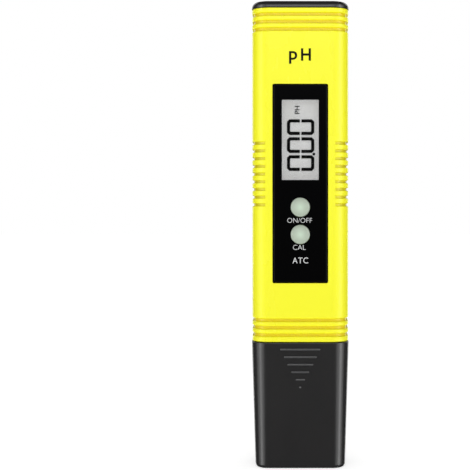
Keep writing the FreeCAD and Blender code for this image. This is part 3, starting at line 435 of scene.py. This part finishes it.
# painted highlight on the cap's ribs, paler where they stand proud of the face
capPlastic = dict(blackPlastic, ribHighlightColour=(0.062, 0.062, 0.064), ribProud=0.34 * mm, capHigh=capBox[1].z,
                  baseFace=9.55 * mm, topFace=10.65 * mm, ribHighlightStops=[(0.25, 0.0), (0.6, 1.0)],
                  ribHighlightEven=0.7, ribHighlightPatchy=0.5)
whitePlastic = {
    "colour": (0.74, 0.74, 0.71), "flowColour": (0.80, 0.80, 0.78),
    "flowSize": 8 * mm, "markSize": 4 * mm, "grainSize": 0.2 * mm,
    "roughness": 0.40, "roughnessSpread": 0.10, "ior": 1.5,
    "waveDepth": 0.006 * mm, "grainDepth": 0.003 * mm}
switchPlastic = {
    "colour": (0.012, 0.012, 0.013), "flowColour": (0.022, 0.022, 0.022),
    "flowSize": 3 * mm, "markSize": 2 * mm, "grainSize": 0.12 * mm,
    "roughness": 0.50, "roughnessSpread": 0.12, "ior": 1.5,
    "waveDepth": 0.003 * mm, "grainDepth": 0.004 * mm}
labelFilm = {
    "colour": (0.0008, 0.0008, 0.0010), "grainColour": (0.0016, 0.0016, 0.0019), "specular": 0.06,
    "roughness": 0.20, "grainSize": 0.12 * mm,
    "waveSize": 9 * mm, "waveDepth": 0.004 * mm, "dustSize": 1.6 * mm}
borderInk = {
    "colour": (0.0006, 0.0006, 0.0006), "grainColour": (0.0010, 0.0010, 0.0010), "specular": 0.10,
    "roughness": 0.45, "grainSize": 0.10 * mm,
    "waveSize": 4 * mm, "waveDepth": 0.002 * mm, "dustSize": 2 * mm}
paleInk = {
    "colour": (0.60, 0.61, 0.61), "grainColour": (0.72, 0.73, 0.73), "specular": 0.25,
    "roughness": 0.45, "grainSize": 0.10 * mm,
    "waveSize": 2 * mm, "waveDepth": 0.002 * mm, "dustSize": 3 * mm}
darkInk = {
    "colour": (0.0012, 0.0012, 0.0010), "grainColour": (0.0030, 0.0029, 0.0024), "specular": 0.10,
    "roughness": 0.40, "grainSize": 0.10 * mm,
    "waveSize": 2 * mm, "waveDepth": 0.002 * mm, "dustSize": 3 * mm}
segmentCrystal = {
    "colour": (0.0012, 0.0012, 0.0016), "grainColour": (0.0030, 0.0030, 0.0036), "specular": 0.0,
    "roughness": 0.50, "grainSize": 0.15 * mm,
    "waveSize": 3 * mm, "waveDepth": 0.0, "dustSize": 6 * mm}
windowClear = {
    "colour": (0.02, 0.02, 0.02), "hazeColour": (0.05, 0.05, 0.05), "alpha": 0.020, "alphaSpread": 0.02,
    "roughness": 0.08, "hazeSize": 6 * mm, "waveDepth": 0.003 * mm, "ior": 1.49}
displayGlass = {
    "colour": (0.03, 0.035, 0.03), "hazeColour": (0.05, 0.05, 0.045), "alpha": 0.015, "alphaSpread": 0.015,
    "roughness": 0.05, "hazeSize": 5 * mm, "waveDepth": 0.001 * mm, "ior": 1.52}
# the display backing's glow is painted light, keeping the window evenly bright though the backing is only a
# reflector
displayBacking = {
    "colour": (0.48, 0.485, 0.485), "shadeColour": (0.51, 0.515, 0.515), "grainColour": (0.43, 0.435, 0.43),
    "grainSize": 0.09 * mm, "grainShade": 0.25, "shadeSize": 4 * mm, "grainDepth": 0.003 * mm,
    "roughness": 0.55, "paintedGlow": 0.33}
keySilicone = {
    "colour": (0.54, 0.665, 0.53), "milkColour": (0.57, 0.695, 0.56), "lintColour": (0.75, 0.76, 0.72),
    # the rim colour is painted shade towards the rim of each key, eased at the very edge
    "rimShadeColour": (0.40, 0.465, 0.375), "radius": 3.1 * mm,
    "rimShadeStops": [(0.05, 0.0), (0.55, 0.7), (0.85, 1.0), (0.98, 0.8)],
    "skinSize": 0.12 * mm, "skinDepth": 0.003 * mm, "milkSize": 2.5 * mm, "lintSize": 0.9 * mm,
    "roughness": 0.42, "subsurface": 0.12, "lightReach": 0.6 * mm}
boardMask = {
    "colour": (0.008, 0.095, 0.030), "trackColour": (0.020, 0.200, 0.060), "viaColour": (0.75, 0.66, 0.42),
    "trackScale": 120.0, "trackWidth": 0.03, "trackRun": 0.9, "trackRow": 0.22, "trackDepth": 0.02 * mm,
    "viaSize": 4.5 * mm, "weaveSize": 0.3 * mm, "roughness": 0.30}
polishedSteel = {
    "colour": (0.60, 0.59, 0.57), "stainColour": (0.50, 0.48, 0.45), "grainWay": (1, 1, 0.04),
    "scratchSize": 0.15 * mm, "stainSize": 5 * mm, "roughness": 0.18, "roughnessSpread": 0.22,
    "scratchDepth": 0.004 * mm}
nickelSheet = {
    "colour": (0.66, 0.62, 0.54), "stainColour": (0.55, 0.49, 0.40), "grainWay": (1, 0.05, 1),
    "scratchSize": 0.12 * mm, "stainSize": 3 * mm, "roughness": 0.22, "roughnessSpread": 0.25,
    "scratchDepth": 0.004 * mm}
silverWire = {
    "colour": (0.82, 0.81, 0.79), "stainColour": (0.20, 0.16, 0.17), "grainWay": (1, 1, 0.1),
    "scratchSize": 0.10 * mm, "stainSize": 2 * mm, "roughness": 0.25, "roughnessSpread": 0.30,
    "scratchDepth": 0.003 * mm}
tinSolder = {
    "colour": (0.68, 0.68, 0.69), "stainColour": (0.50, 0.49, 0.47), "grainWay": (1, 1, 1),
    "scratchSize": 0.25 * mm, "stainSize": 1.5 * mm, "roughness": 0.20, "roughnessSpread": 0.20,
    "scratchDepth": 0.006 * mm}
sealRubber = {
    "colour": (0.014, 0.014, 0.014), "bloomColour": (0.050, 0.050, 0.052), "roughness": 0.55,
    "bloomSize": 2 * mm, "skinSize": 0.15 * mm, "skinDepth": 0.006 * mm}
redSleeve = dict(sealRubber, colour=(0.52, 0.012, 0.010), bloomColour=(0.60, 0.04, 0.03), roughness=0.35)
blackSleeve = dict(sealRubber, roughness=0.35)
whiteSleeve = dict(sealRubber, colour=(0.70, 0.70, 0.67), bloomColour=(0.60, 0.59, 0.55), roughness=0.35)
zebraStrip = {
    "colour": (0.62, 0.22, 0.20), "bandColour": (0.02, 0.015, 0.015), "bandScale": 1500.0,
    "bandDepth": 0.004 * mm, "roughness": 0.55}
ceramicPart = {
    "colour": (0.42, 0.33, 0.22), "shadeColour": (0.52, 0.42, 0.30), "grainColour": (0.30, 0.22, 0.14),
    "grainSize": 0.12 * mm, "grainShade": 0.35, "shadeSize": 1.2 * mm, "grainDepth": 0.006 * mm,
    "roughness": 0.45}
porousPlug = {
    "colour": (0.80, 0.79, 0.74), "shadeColour": (0.72, 0.70, 0.62), "grainColour": (0.50, 0.47, 0.40),
    "grainSize": 0.16 * mm, "grainShade": 0.5, "shadeSize": 0.8 * mm, "grainDepth": 0.05 * mm,
    "roughness": 0.80}
electrodeGlass = {
    "colour": (0.93, 0.96, 0.96), "saltColour": (0.88, 0.88, 0.86), "roughness": 0.02, "ior": 1.47,
    "transmission": 1.0, "lineSize": 0.8 * mm, "lineDepth": 0.002 * mm,
    "saltSize": 1.2 * mm, "saltAmount": 0.25}
pottingResin = {
    "colour": (0.020, 0.020, 0.022), "bubbleColour": (0.09, 0.09, 0.09), "roughness": 0.12, "alpha": 1.0,
    "rippleSize": 2.5 * mm, "rippleDepth": 0.03 * mm, "bubbleSize": 1.1 * mm}
storageGel = {
    "colour": (0.78, 0.82, 0.80), "bubbleColour": (0.92, 0.95, 0.94), "roughness": 0.10, "alpha": 0.55,
    "rippleSize": 3 * mm, "rippleDepth": 0.02 * mm, "bubbleSize": 1.3 * mm}
dampSponge = {
    # the hole colour is painted shade in the sunken cell middles
    "colour": (0.80, 0.73, 0.40), "holeShadeColour": (0.30, 0.25, 0.10), "dampColour": (0.52, 0.45, 0.20),
    "cellSize": 0.55 * mm, "cellDepth": 0.18 * mm, "dampSize": 6 * mm, "roughness": 0.9}

finishes = {
    "yellow_case": mouldedPlastic("yellowCase", yellowCase),
    "black_plastic": mouldedPlastic("blackPlastic", blackPlastic),
    "white_plastic": mouldedPlastic("whitePlastic", whitePlastic),
    "switch_black": mouldedPlastic("switchPlastic", switchPlastic),
    "black_label": printedFilm("labelFilm", labelFilm),
    "clear_window": clearSheet("windowClear", windowClear),
    "display_glass": clearSheet("displayGlass", displayGlass),
    "display_reflector": sinteredGrain("displayBacking", displayBacking),
    "board_green": circuitBoard("boardMask", boardMask),
    "steel": brushedMetal("polishedSteel", polishedSteel),
    "nickel_contact": brushedMetal("nickelSheet", nickelSheet),
    "silver": brushedMetal("silverWire", silverWire),
    "seal_rubber": softRubber("sealRubber", sealRubber),
    "lead_red": softRubber("redSleeve", redSleeve),
    "lead_black": softRubber("blackSleeve", blackSleeve),
    "lead_white": softRubber("whiteSleeve", whiteSleeve),
    "pink_elastomer": zebraRubber("zebraStrip", zebraStrip),
    "ceramic_chip": sinteredGrain("ceramicPart", ceramicPart),
    "porous_junction": sinteredGrain("porousPlug", porousPlug),
    "electrode_glass": blownGlass("electrodeGlass", electrodeGlass),
    "resin": castResin("pottingResin", pottingResin),
    "gel": castResin("storageGel", storageGel),
    "sponge": openFoam("dampSponge", dampSponge),
}
inks = {
    "pale": printedFilm("paleInk", paleInk),
    "dark": printedFilm("darkInk", darkInk),
    "border": printedFilm("borderInk", borderInk),
    "segment": printedFilm("segmentCrystal", segmentCrystal),
    "solder": brushedMetal("tinSolder", tinSolder),
}
ownFinishes = {"protective_cap": mouldedPlastic("capPlastic", capPlastic)}
for keyName in ("on_off_button", "cal_button"):
    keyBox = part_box(keyName)
    ownFinishes[keyName] = siliconeRubber(keyName + "Rubber", keySilicone, (keyBox[0] + keyBox[1]) / 2)
for part in frame["record"]["subparts"]:
    for materialSlot in nodes[part["node"]].material_slots:
        materialSlot.material = ownFinishes.get(part["node"]) or finishes[part["material_slot"]]


mergeWithin = 1e-7                                    # metres


def settle(name, mesh, material, body):
    # a finished piece: closed mesh in place, one material, riding on its body
    shape = bmesh.new()
    shape.from_mesh(mesh)
    bmesh.ops.remove_doubles(shape, verts=shape.verts, dist=mergeWithin)
    bmesh.ops.recalc_face_normals(shape, faces=shape.faces)
    shape.to_mesh(mesh)
    shape.free()
    mesh.materials.clear()
    mesh.materials.append(material)
    piece = bpy.data.objects.new(name, mesh)
    scene.collection.objects.link(piece)
    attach(piece, body)
    return piece


def standUp(mesh, spot):
    # a shape made lying flat is turned to face forwards, with its middle at a spot
    mesh.transform(Matrix.Translation(spot) @ Euler((math.pi / 2, 0, 0)).to_matrix().to_4x4())


letterSteps = 5                                       # pieces of a letter's curve between two points


def lettering(name, look, left, low, face, material):
    # raised print: words fitted to their box and turned to stand on the front face
    curve = bpy.data.curves.new(name + "Words", "FONT")
    curve.body = look["words"]
    curve.space_character = look.get("spacing", 1.0)
    curve.offset = look.get("weight", 0.0)
    curve.extrude = 0.5                               # any depth does: the box sets it below
    curve.resolution_u = letterSteps
    holder = bpy.data.objects.new(name + "Words", curve)
    scene.collection.objects.link(holder)
    mesh = bpy.data.meshes.new_from_object(holder.evaluated_get(bpy.context.evaluated_depsgraph_get()))
    bpy.data.objects.remove(holder)
    points = [vertex.co.copy() for vertex in mesh.vertices]
    lows = Vector([min(point[axis] for point in points) for axis in range(3)])
    highs = Vector([max(point[axis] for point in points) for axis in range(3)])
    size = (look["width"], look["height"], look["proud"] + look["sunk"])
    scale = Matrix.Diagonal([size[axis] / (highs[axis] - lows[axis]) for axis in range(3)]).to_4x4()
    mesh.transform(scale @ Matrix.Translation(-lows))
    if look.get("upwards"):
        turn = Matrix(((0, -1, 0), (0, 0, -1), (1, 0, 0))).to_4x4()
        start = Vector((left + look["height"], face + look["sunk"], low))
    else:
        turn = Matrix(((1, 0, 0), (0, 0, -1), (0, 1, 0))).to_4x4()
        start = Vector((left, face + look["sunk"], low))
    mesh.transform(Matrix.Translation(start) @ turn)
    return settle(name, mesh, material, "pen")


def newTree(name, inputs):
    # a geometry tree with named inputs; gives its graph and a wire for each input
    tree = bpy.data.node_groups.new(name, "GeometryNodeTree")
    tree.interface.new_socket(name="Geometry", in_out="OUTPUT", socket_type="NodeSocketGeometry")
    for label, kind in inputs.items():
        tree.interface.new_socket(name=label, in_out="INPUT", socket_type="NodeSocket" + kind)
    graph = Graph(tree)
    source = graph.add("NodeGroupInput").socket.node.outputs
    return graph, {label: Wire(graph, source[label]) for label in inputs}


def closeTree(graph, shape, material):
    real = graph.add("GeometryNodeRealizeInstances", {}, {"Geometry": shape})
    painted = graph.add("GeometryNodeSetMaterial", {}, {"Geometry": real, "Material": material})
    graph.add("NodeGroupOutput", {}, {"Geometry": painted})


def grow(name, graph, values):
    # evaluates a tree on an empty object and gives the plain mesh
    holder = bpy.data.objects.new(name + "Seed", bpy.data.meshes.new(name + "Seed"))
    scene.collection.objects.link(holder)
    modifier = holder.modifiers.new(name, "NODES")
    modifier.node_group = graph.tree
    for item in graph.tree.interface.items_tree:
        if item.item_type == "SOCKET" and item.in_out == "INPUT":
            modifier[item.identifier] = values[item.name]
    mesh = bpy.data.meshes.new_from_object(holder.evaluated_get(bpy.context.evaluated_depsgraph_get()))
    bpy.data.objects.remove(holder)
    return mesh


def vector(graph, x=0.0, y=0.0, z=0.0):
    return graph.add("ShaderNodeCombineXYZ", {}, {"X": x, "Y": y, "Z": z})


def ribbon(graph, wide, tall, corner, steps, thick, deep):
    # a closed flat band along a rectangle with cut or rounded corners
    frameLine = graph.add("GeometryNodeCurvePrimitiveQuadrilateral", {}, {"Width": wide, "Height": tall})
    turned = graph.add("GeometryNodeFilletCurve", {"mode": "POLY"}, {
        "Curve": frameLine, "Count": steps, "Radius": corner, "Limit Radius": True})
    profile = graph.add("GeometryNodeCurvePrimitiveQuadrilateral", {}, {"Width": thick, "Height": deep})
    return graph.add("GeometryNodeCurveToMesh", {}, {"Curve": turned, "Profile Curve": profile})


digits = {
    "digitHeight": 9.08 * mm, "digitWidth": 5.20 * mm, "stroke": 1.05 * mm, "corner": 0.52 * mm,
    "gap": 0.52 * mm, "deep": 0.008 * mm, "pitch": 5.97 * mm, "count": 3, "dot": 0.95 * mm, "dotSides": 24,
    "across": 0.11 * mm, "below": 1.575 * mm,          # middle digit's centre from the window's centre
    "dotAcross": 4.52 * mm, "dotBelow": 4.555 * mm}    # the point's centre from the window's centre


def makeDigits():
    # zeros of six straight segments, standing on end, and the decimal point
    graph, wire = newTree("segmentDigits", {
        "Digit height": "Float", "Digit width": "Float", "Stroke": "Float", "Corner": "Float", "Gap": "Float",
        "Depth": "Float", "Pitch": "Float", "Count": "Int", "Dot size": "Float", "Dot place": "Vector",
        "Material": "Material"})
    band = wire["Stroke"] / math.cos(math.pi / 8)      # a band thins by this at its cut corners
    ring = ribbon(graph, wire["Digit height"] - wire["Stroke"], wire["Digit width"] - wire["Stroke"],
                  wire["Corner"], 1, band, wire["Depth"])
    cutter = graph.add("GeometryNodeMeshCube", {}, {   # opens the gaps half way up, well past both sides
        "Size": vector(graph, wire["Gap"], wire["Digit width"] * 2.0, wire["Depth"] * 8.0)})
    zero = graph.add("GeometryNodeMeshBoolean", {"operation": "DIFFERENCE", "solver": "EXACT"},
                     {"Mesh 1": ring, "Mesh 2": cutter})
    row = graph.add("GeometryNodeMeshLine", {}, {
        "Count": wire["Count"], "Start Location": vector(graph, 0.0, wire["Pitch"] * -1.0, 0.0),
        "Offset": vector(graph, 0.0, wire["Pitch"], 0.0)})
    zeros = graph.add("GeometryNodeInstanceOnPoints", {}, {"Points": row, "Instance": zero})
    dot = graph.add("GeometryNodeMeshCylinder", {}, {
        "Vertices": digits["dotSides"], "Radius": wire["Dot size"] / 2.0, "Depth": wire["Depth"]})
    dot = graph.add("GeometryNodeTransform", {}, {"Geometry": dot, "Translation": wire["Dot place"]})
    closeTree(graph, graph.add("GeometryNodeJoinGeometry", {}, {"Geometry": [zeros, dot]}), wire["Material"])
    mesh = grow("segmentDigits", graph, {
        "Digit height": digits["digitHeight"], "Digit width": digits["digitWidth"],
        "Stroke": digits["stroke"], "Corner": digits["corner"], "Gap": digits["gap"], "Depth": digits["deep"],
        "Pitch": digits["pitch"], "Count": digits["count"], "Dot size": digits["dot"],
        "Dot place": (digits["dotAcross"] - digits["across"], digits["below"] - digits["dotBelow"], 0.0),
        "Material": inks["segment"]})
    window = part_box("display_window")
    centre = (window[0] + window[1]) / 2
    cell = (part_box("lcd_front_glass")[1].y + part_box("lcd_rear_glass")[0].y) / 2     # between the two glasses
    standUp(mesh, Vector((centre.x + digits["across"], cell, centre.z - digits["below"])))
    settle("display_digits", mesh, inks["segment"], "pen")
    return centre, cell


unitMark = {"words": "PH", "width": 2.64 * mm, "height": 1.62 * mm, "proud": 0.004 * mm, "sunk": 0.004 * mm,
            "upwards": True, "across": -1.86 * mm, "above": 8.78 * mm, "weight": 0.014}

displayCentre, displayCell = makeDigits()
lettering("display_unit", unitMark, displayCentre.x + unitMark["across"], displayCentre.z + unitMark["above"],
          displayCell, inks["segment"])
print("display: digits and unit mark")

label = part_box("face_label")
printed = {"proud": 0.02 * mm, "sunk": 0.005 * mm}    # how far the ink stands out and reaches in
onOffWords = dict(printed, words="ON/OFF", width=8.20 * mm, height=1.60 * mm, above=19.90 * mm,
                  across=-0.20 * mm, weight=-0.010)
calWords = dict(printed, words="CAL", width=4.20 * mm, height=1.66 * mm, above=10.97 * mm,
                across=-0.30 * mm, weight=-0.010)
atcWords = dict(printed, words="ATC", width=5.15 * mm, height=1.97 * mm, above=6.48 * mm,
                across=0.0, spacing=1.1)
labelWords = {"on_off_words": onOffWords, "cal_words": calWords, "atc_words": atcWords}
for wordsName, words in labelWords.items():
    lettering(wordsName, words, words["across"] - words["width"] / 2, label[0].z + words["above"], label[0].y,
              inks["pale"])

smallLetter = dict(printed, words="p", width=2.70 * mm, height=4.15 * mm, above=6.65 * mm,
                   left=-3.70 * mm, weight=0.016)
capitalLetter = dict(printed, words="H", width=3.26 * mm, height=4.08 * mm, above=7.65 * mm,
                     left=0.24 * mm, weight=0.022)
labelProud = 0.05 * mm                                # how far the label stands out of the case
caseLetters = {"case_letter_p": smallLetter, "case_letter_h": capitalLetter}
for letterName, letter in caseLetters.items():
    lettering(letterName, letter, letter["left"], label[1].z + letter["above"], label[0].y + labelProud,
              inks["dark"])
print("print: %d words on the label, %d letters on the case" % (len(labelWords), len(caseLetters)))


border = {"inset": 0.35 * mm, "line": 0.30 * mm, "deep": 0.012 * mm, "corner": 0.5 * mm, "steps": 4}


def makeBorder():
    # printed line that runs round the label just inside its edge
    graph, wire = newTree("labelBorder", {
        "Width": "Float", "Height": "Float", "Corner": "Float", "Steps": "Int", "Line": "Float",
        "Depth": "Float", "Material": "Material"})
    line = ribbon(graph, wire["Width"], wire["Height"], wire["Corner"], wire["Steps"],
                  wire["Line"], wire["Depth"])
    closeTree(graph, line, wire["Material"])
    around = 2 * border["inset"] + border["line"]
    mesh = grow("labelBorder", graph, {
        "Width": label[1].x - label[0].x - around, "Height": label[1].z - label[0].z - around,
        "Corner": border["corner"], "Steps": border["steps"], "Line": border["line"], "Depth": border["deep"],
        "Material": inks["border"]})
    middle = (label[0] + label[1]) / 2
    standUp(mesh, Vector((middle.x, label[0].y - border["deep"] / 4, middle.z)))    # a quarter of it is sunk
    settle("label_border", mesh, inks["border"], "pen")


makeBorder()
print("label: border line")


joints = {
    "rows": 2, "perRow": 12, "size": 0.55 * mm, "pitch": 2.54 * mm, "apart": 20.0 * mm, "spread": 0.15,
    "seed": 4, "flat": 0.55, "below": 12.0 * mm}


def makeSolderJoints():
    # two rows of domed joints along the back of the board
    graph, wire = newTree("solderJoints", {
        "Rows": "Int", "Per row": "Int", "Size": "Float", "Pitch": "Float", "Apart": "Float",
        "Spread": "Float", "Flatness": "Float", "Seed": "Int", "Material": "Material"})
    columns = wire["Rows"] - 1.0
    runs = wire["Per row"] - 1.0
    grid = graph.add("GeometryNodeMeshGrid", {}, {
        "Size X": columns * wire["Apart"], "Size Y": runs * wire["Pitch"],
        "Vertices X": wire["Rows"], "Vertices Y": wire["Per row"]})
    drop = graph.add("GeometryNodeMeshIcoSphere", {}, {"Radius": wire["Size"] / 2.0, "Subdivisions": 2})
    flat = graph.add("GeometryNodeTransform", {}, {
        "Geometry": drop, "Scale": vector(graph, 1.0, 1.0, wire["Flatness"])})
    scatter = graph.add("FunctionNodeRandomValue", {"data_type": "FLOAT"}, {
        2: 1.0 - wire["Spread"], 3: 1.0 + wire["Spread"], 8: wire["Seed"]}, output=1)
    drops = graph.add("GeometryNodeInstanceOnPoints", {}, {
        "Points": grid, "Instance": flat, "Scale": scatter})
    closeTree(graph, drops, wire["Material"])
    mesh = grow("solderJoints", graph, {
        "Rows": joints["rows"], "Per row": joints["perRow"], "Size": joints["size"],
        "Pitch": joints["pitch"], "Apart": joints["apart"], "Spread": joints["spread"],
        "Flatness": joints["flat"], "Seed": joints["seed"], "Material": inks["solder"]})
    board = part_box("circuit_board")
    standUp(mesh, Vector((0, board[1].y, (board[0].z + board[1].z) / 2 - joints["below"])))
    settle("solder_joints", mesh, inks["solder"], "pen")


makeSolderJoints()
print("board: solder joints")


studio = {
    "floorSize": 6.0, "floorColour": (0.90, 0.90, 0.90), "fibreColour": (0.93, 0.93, 0.93), "floorGlow": 0.60,
    "fibreSize": 1.5 * mm, "fibreDepth": 0.02 * mm, "floorRoughness": 0.8,
    "skyDiffuse": 0.46, "skyGlossy": 0.035, "skyCamera": 1.0,
    "clearLayers": 32}                                # the window and display are eight clear surfaces deep
# azimuth from straight in front, positive to the right; rise is the centre's height; sizes in metres
sideCard = {"rise": 0.12, "away": 0.55, "wide": 0.62, "tall": 0.9, "diffuse": False}
edgeCard = dict(sideCard, away=0.60, wide=0.16)
backCard = dict(sideCard, rise=0.15, away=0.60, wide=0.22)
softLights = {
    "frontFill": {"azimuth": 0, "rise": 0.35, "away": 1.1, "wide": 1.2, "tall": 0.8, "watts": 4.35,
                  "glossy": False},
    "leftCard": dict(sideCard, azimuth=-56, watts=2.4),
    "rightCard": dict(sideCard, azimuth=56, watts=2.7),
    "leftEdge": dict(edgeCard, azimuth=-55, watts=1.2),
    "rightEdge": dict(edgeCard, azimuth=59, watts=1.4),
    "topStrip": dict(sideCard, azimuth=0, rise=0.41, away=0.62, wide=0.45, tall=0.27, watts=1.1),
    "leftBack": dict(backCard, azimuth=-150, watts=1.2),
    "rightBack": dict(backCard, azimuth=150, watts=1.2),
}
camera = {"lens": 86.140, "sensor": 36.0, "shiftX": -0.1389, "shiftY": -0.02882, "nearest": 10 * mm,
          "away": 371.1 * mm, "height": 87.37 * mm, "pitchDown": 0.807}    # pitchDown in degrees


def makeFloor():
    half = studio["floorSize"] / 2
    mesh = bpy.data.meshes.new("floorSheet")
    level = cadBox[0][2]
    mesh.from_pydata([(-half, -half, level), (half, -half, level), (half, half, level), (-half, half, level)],
                     [], [(0, 1, 2, 3)])
    floor = bpy.data.objects.new("floor_sheet", mesh)
    scene.collection.objects.link(floor)
    material, graph = startMaterial("floorPaper")
    fibres = cloud(graph, place(graph), studio["fibreSize"], 4.0)
    finishMaterial(graph, {
        "Base Color": tint(graph, fibres, solid(studio["floorColour"]), solid(studio["fibreColour"])),
        "Roughness": studio["floorRoughness"], "Specular IOR Level": 0.0,
        "Normal": bump(graph, fibres, studio["fibreDepth"]),
        "Emission Color": (1, 1, 1, 1), "Emission Strength": studio["floorGlow"]})
    mesh.materials.append(material)
    floor.visible_glossy = False


def makeSky():
    # white to the eye, even light on surfaces, and dark in gloss so that the black parts stay black
    world = bpy.data.worlds.new("studioAir")
    world.use_nodes = True
    world.node_tree.nodes.clear()
    graph = Graph(world.node_tree)
    seen = graph.add("ShaderNodeLightPath", output="Is Camera Ray")
    gloss = graph.add("ShaderNodeLightPath", output="Is Glossy Ray")
    even = gloss * studio["skyGlossy"] + (1.0 - gloss) * studio["skyDiffuse"]
    strength = seen * studio["skyCamera"] + (1.0 - seen) * even
    light = graph.add("ShaderNodeBackground", {}, {"Color": (1, 1, 1, 1), "Strength": strength})
    graph.add("ShaderNodeOutputWorld", {}, {"Surface": light})
    scene.world = world


def makeLight(name, look, target):
    light = bpy.data.lights.new(name, "AREA")
    light.shape = "RECTANGLE"
    light.size = look["wide"]
    light.size_y = look["tall"]
    light.energy = look["watts"]
    lamp = bpy.data.objects.new(name, light)
    scene.collection.objects.link(lamp)
    turn = math.radians(look["azimuth"])
    spot = Vector((target.x + look["away"] * math.sin(turn), target.y - look["away"] * math.cos(turn),
                   look["rise"]))
    lamp.location = spot
    lamp.rotation_euler = (target - spot).to_track_quat("-Z", "Y").to_euler()
    lamp.visible_camera = False
    lamp.visible_glossy = look.get("glossy", True)
    lamp.visible_diffuse = look.get("diffuse", True)


def makeCamera():
    lens = bpy.data.cameras.new("penCamera")
    lens.sensor_width = camera["sensor"]
    lens.lens = camera["lens"]
    lens.shift_x = camera["shiftX"]
    lens.shift_y = camera["shiftY"]
    lens.clip_start = camera["nearest"]
    eye = bpy.data.objects.new("penCamera", lens)
    scene.collection.objects.link(eye)
    eye.location = (0.0, label[0].y - camera["away"], cadBox[0][2] + camera["height"])
    eye.rotation_euler = (math.radians(90 - camera["pitchDown"]), 0, 0)
    scene.camera = eye


makeFloor()
makeSky()
aim = Vector((0, 0, (cadBox[0][2] + cadBox[1][2]) / 2))
for lightName, lightLook in softLights.items():
    makeLight(lightName, lightLook, aim)
makeCamera()
scene.view_settings.view_transform = "Standard"
scene.cycles.transparent_max_bounces = studio["clearLayers"]
print("studio: floor, sky, %d lights and the camera" % len(softLights))
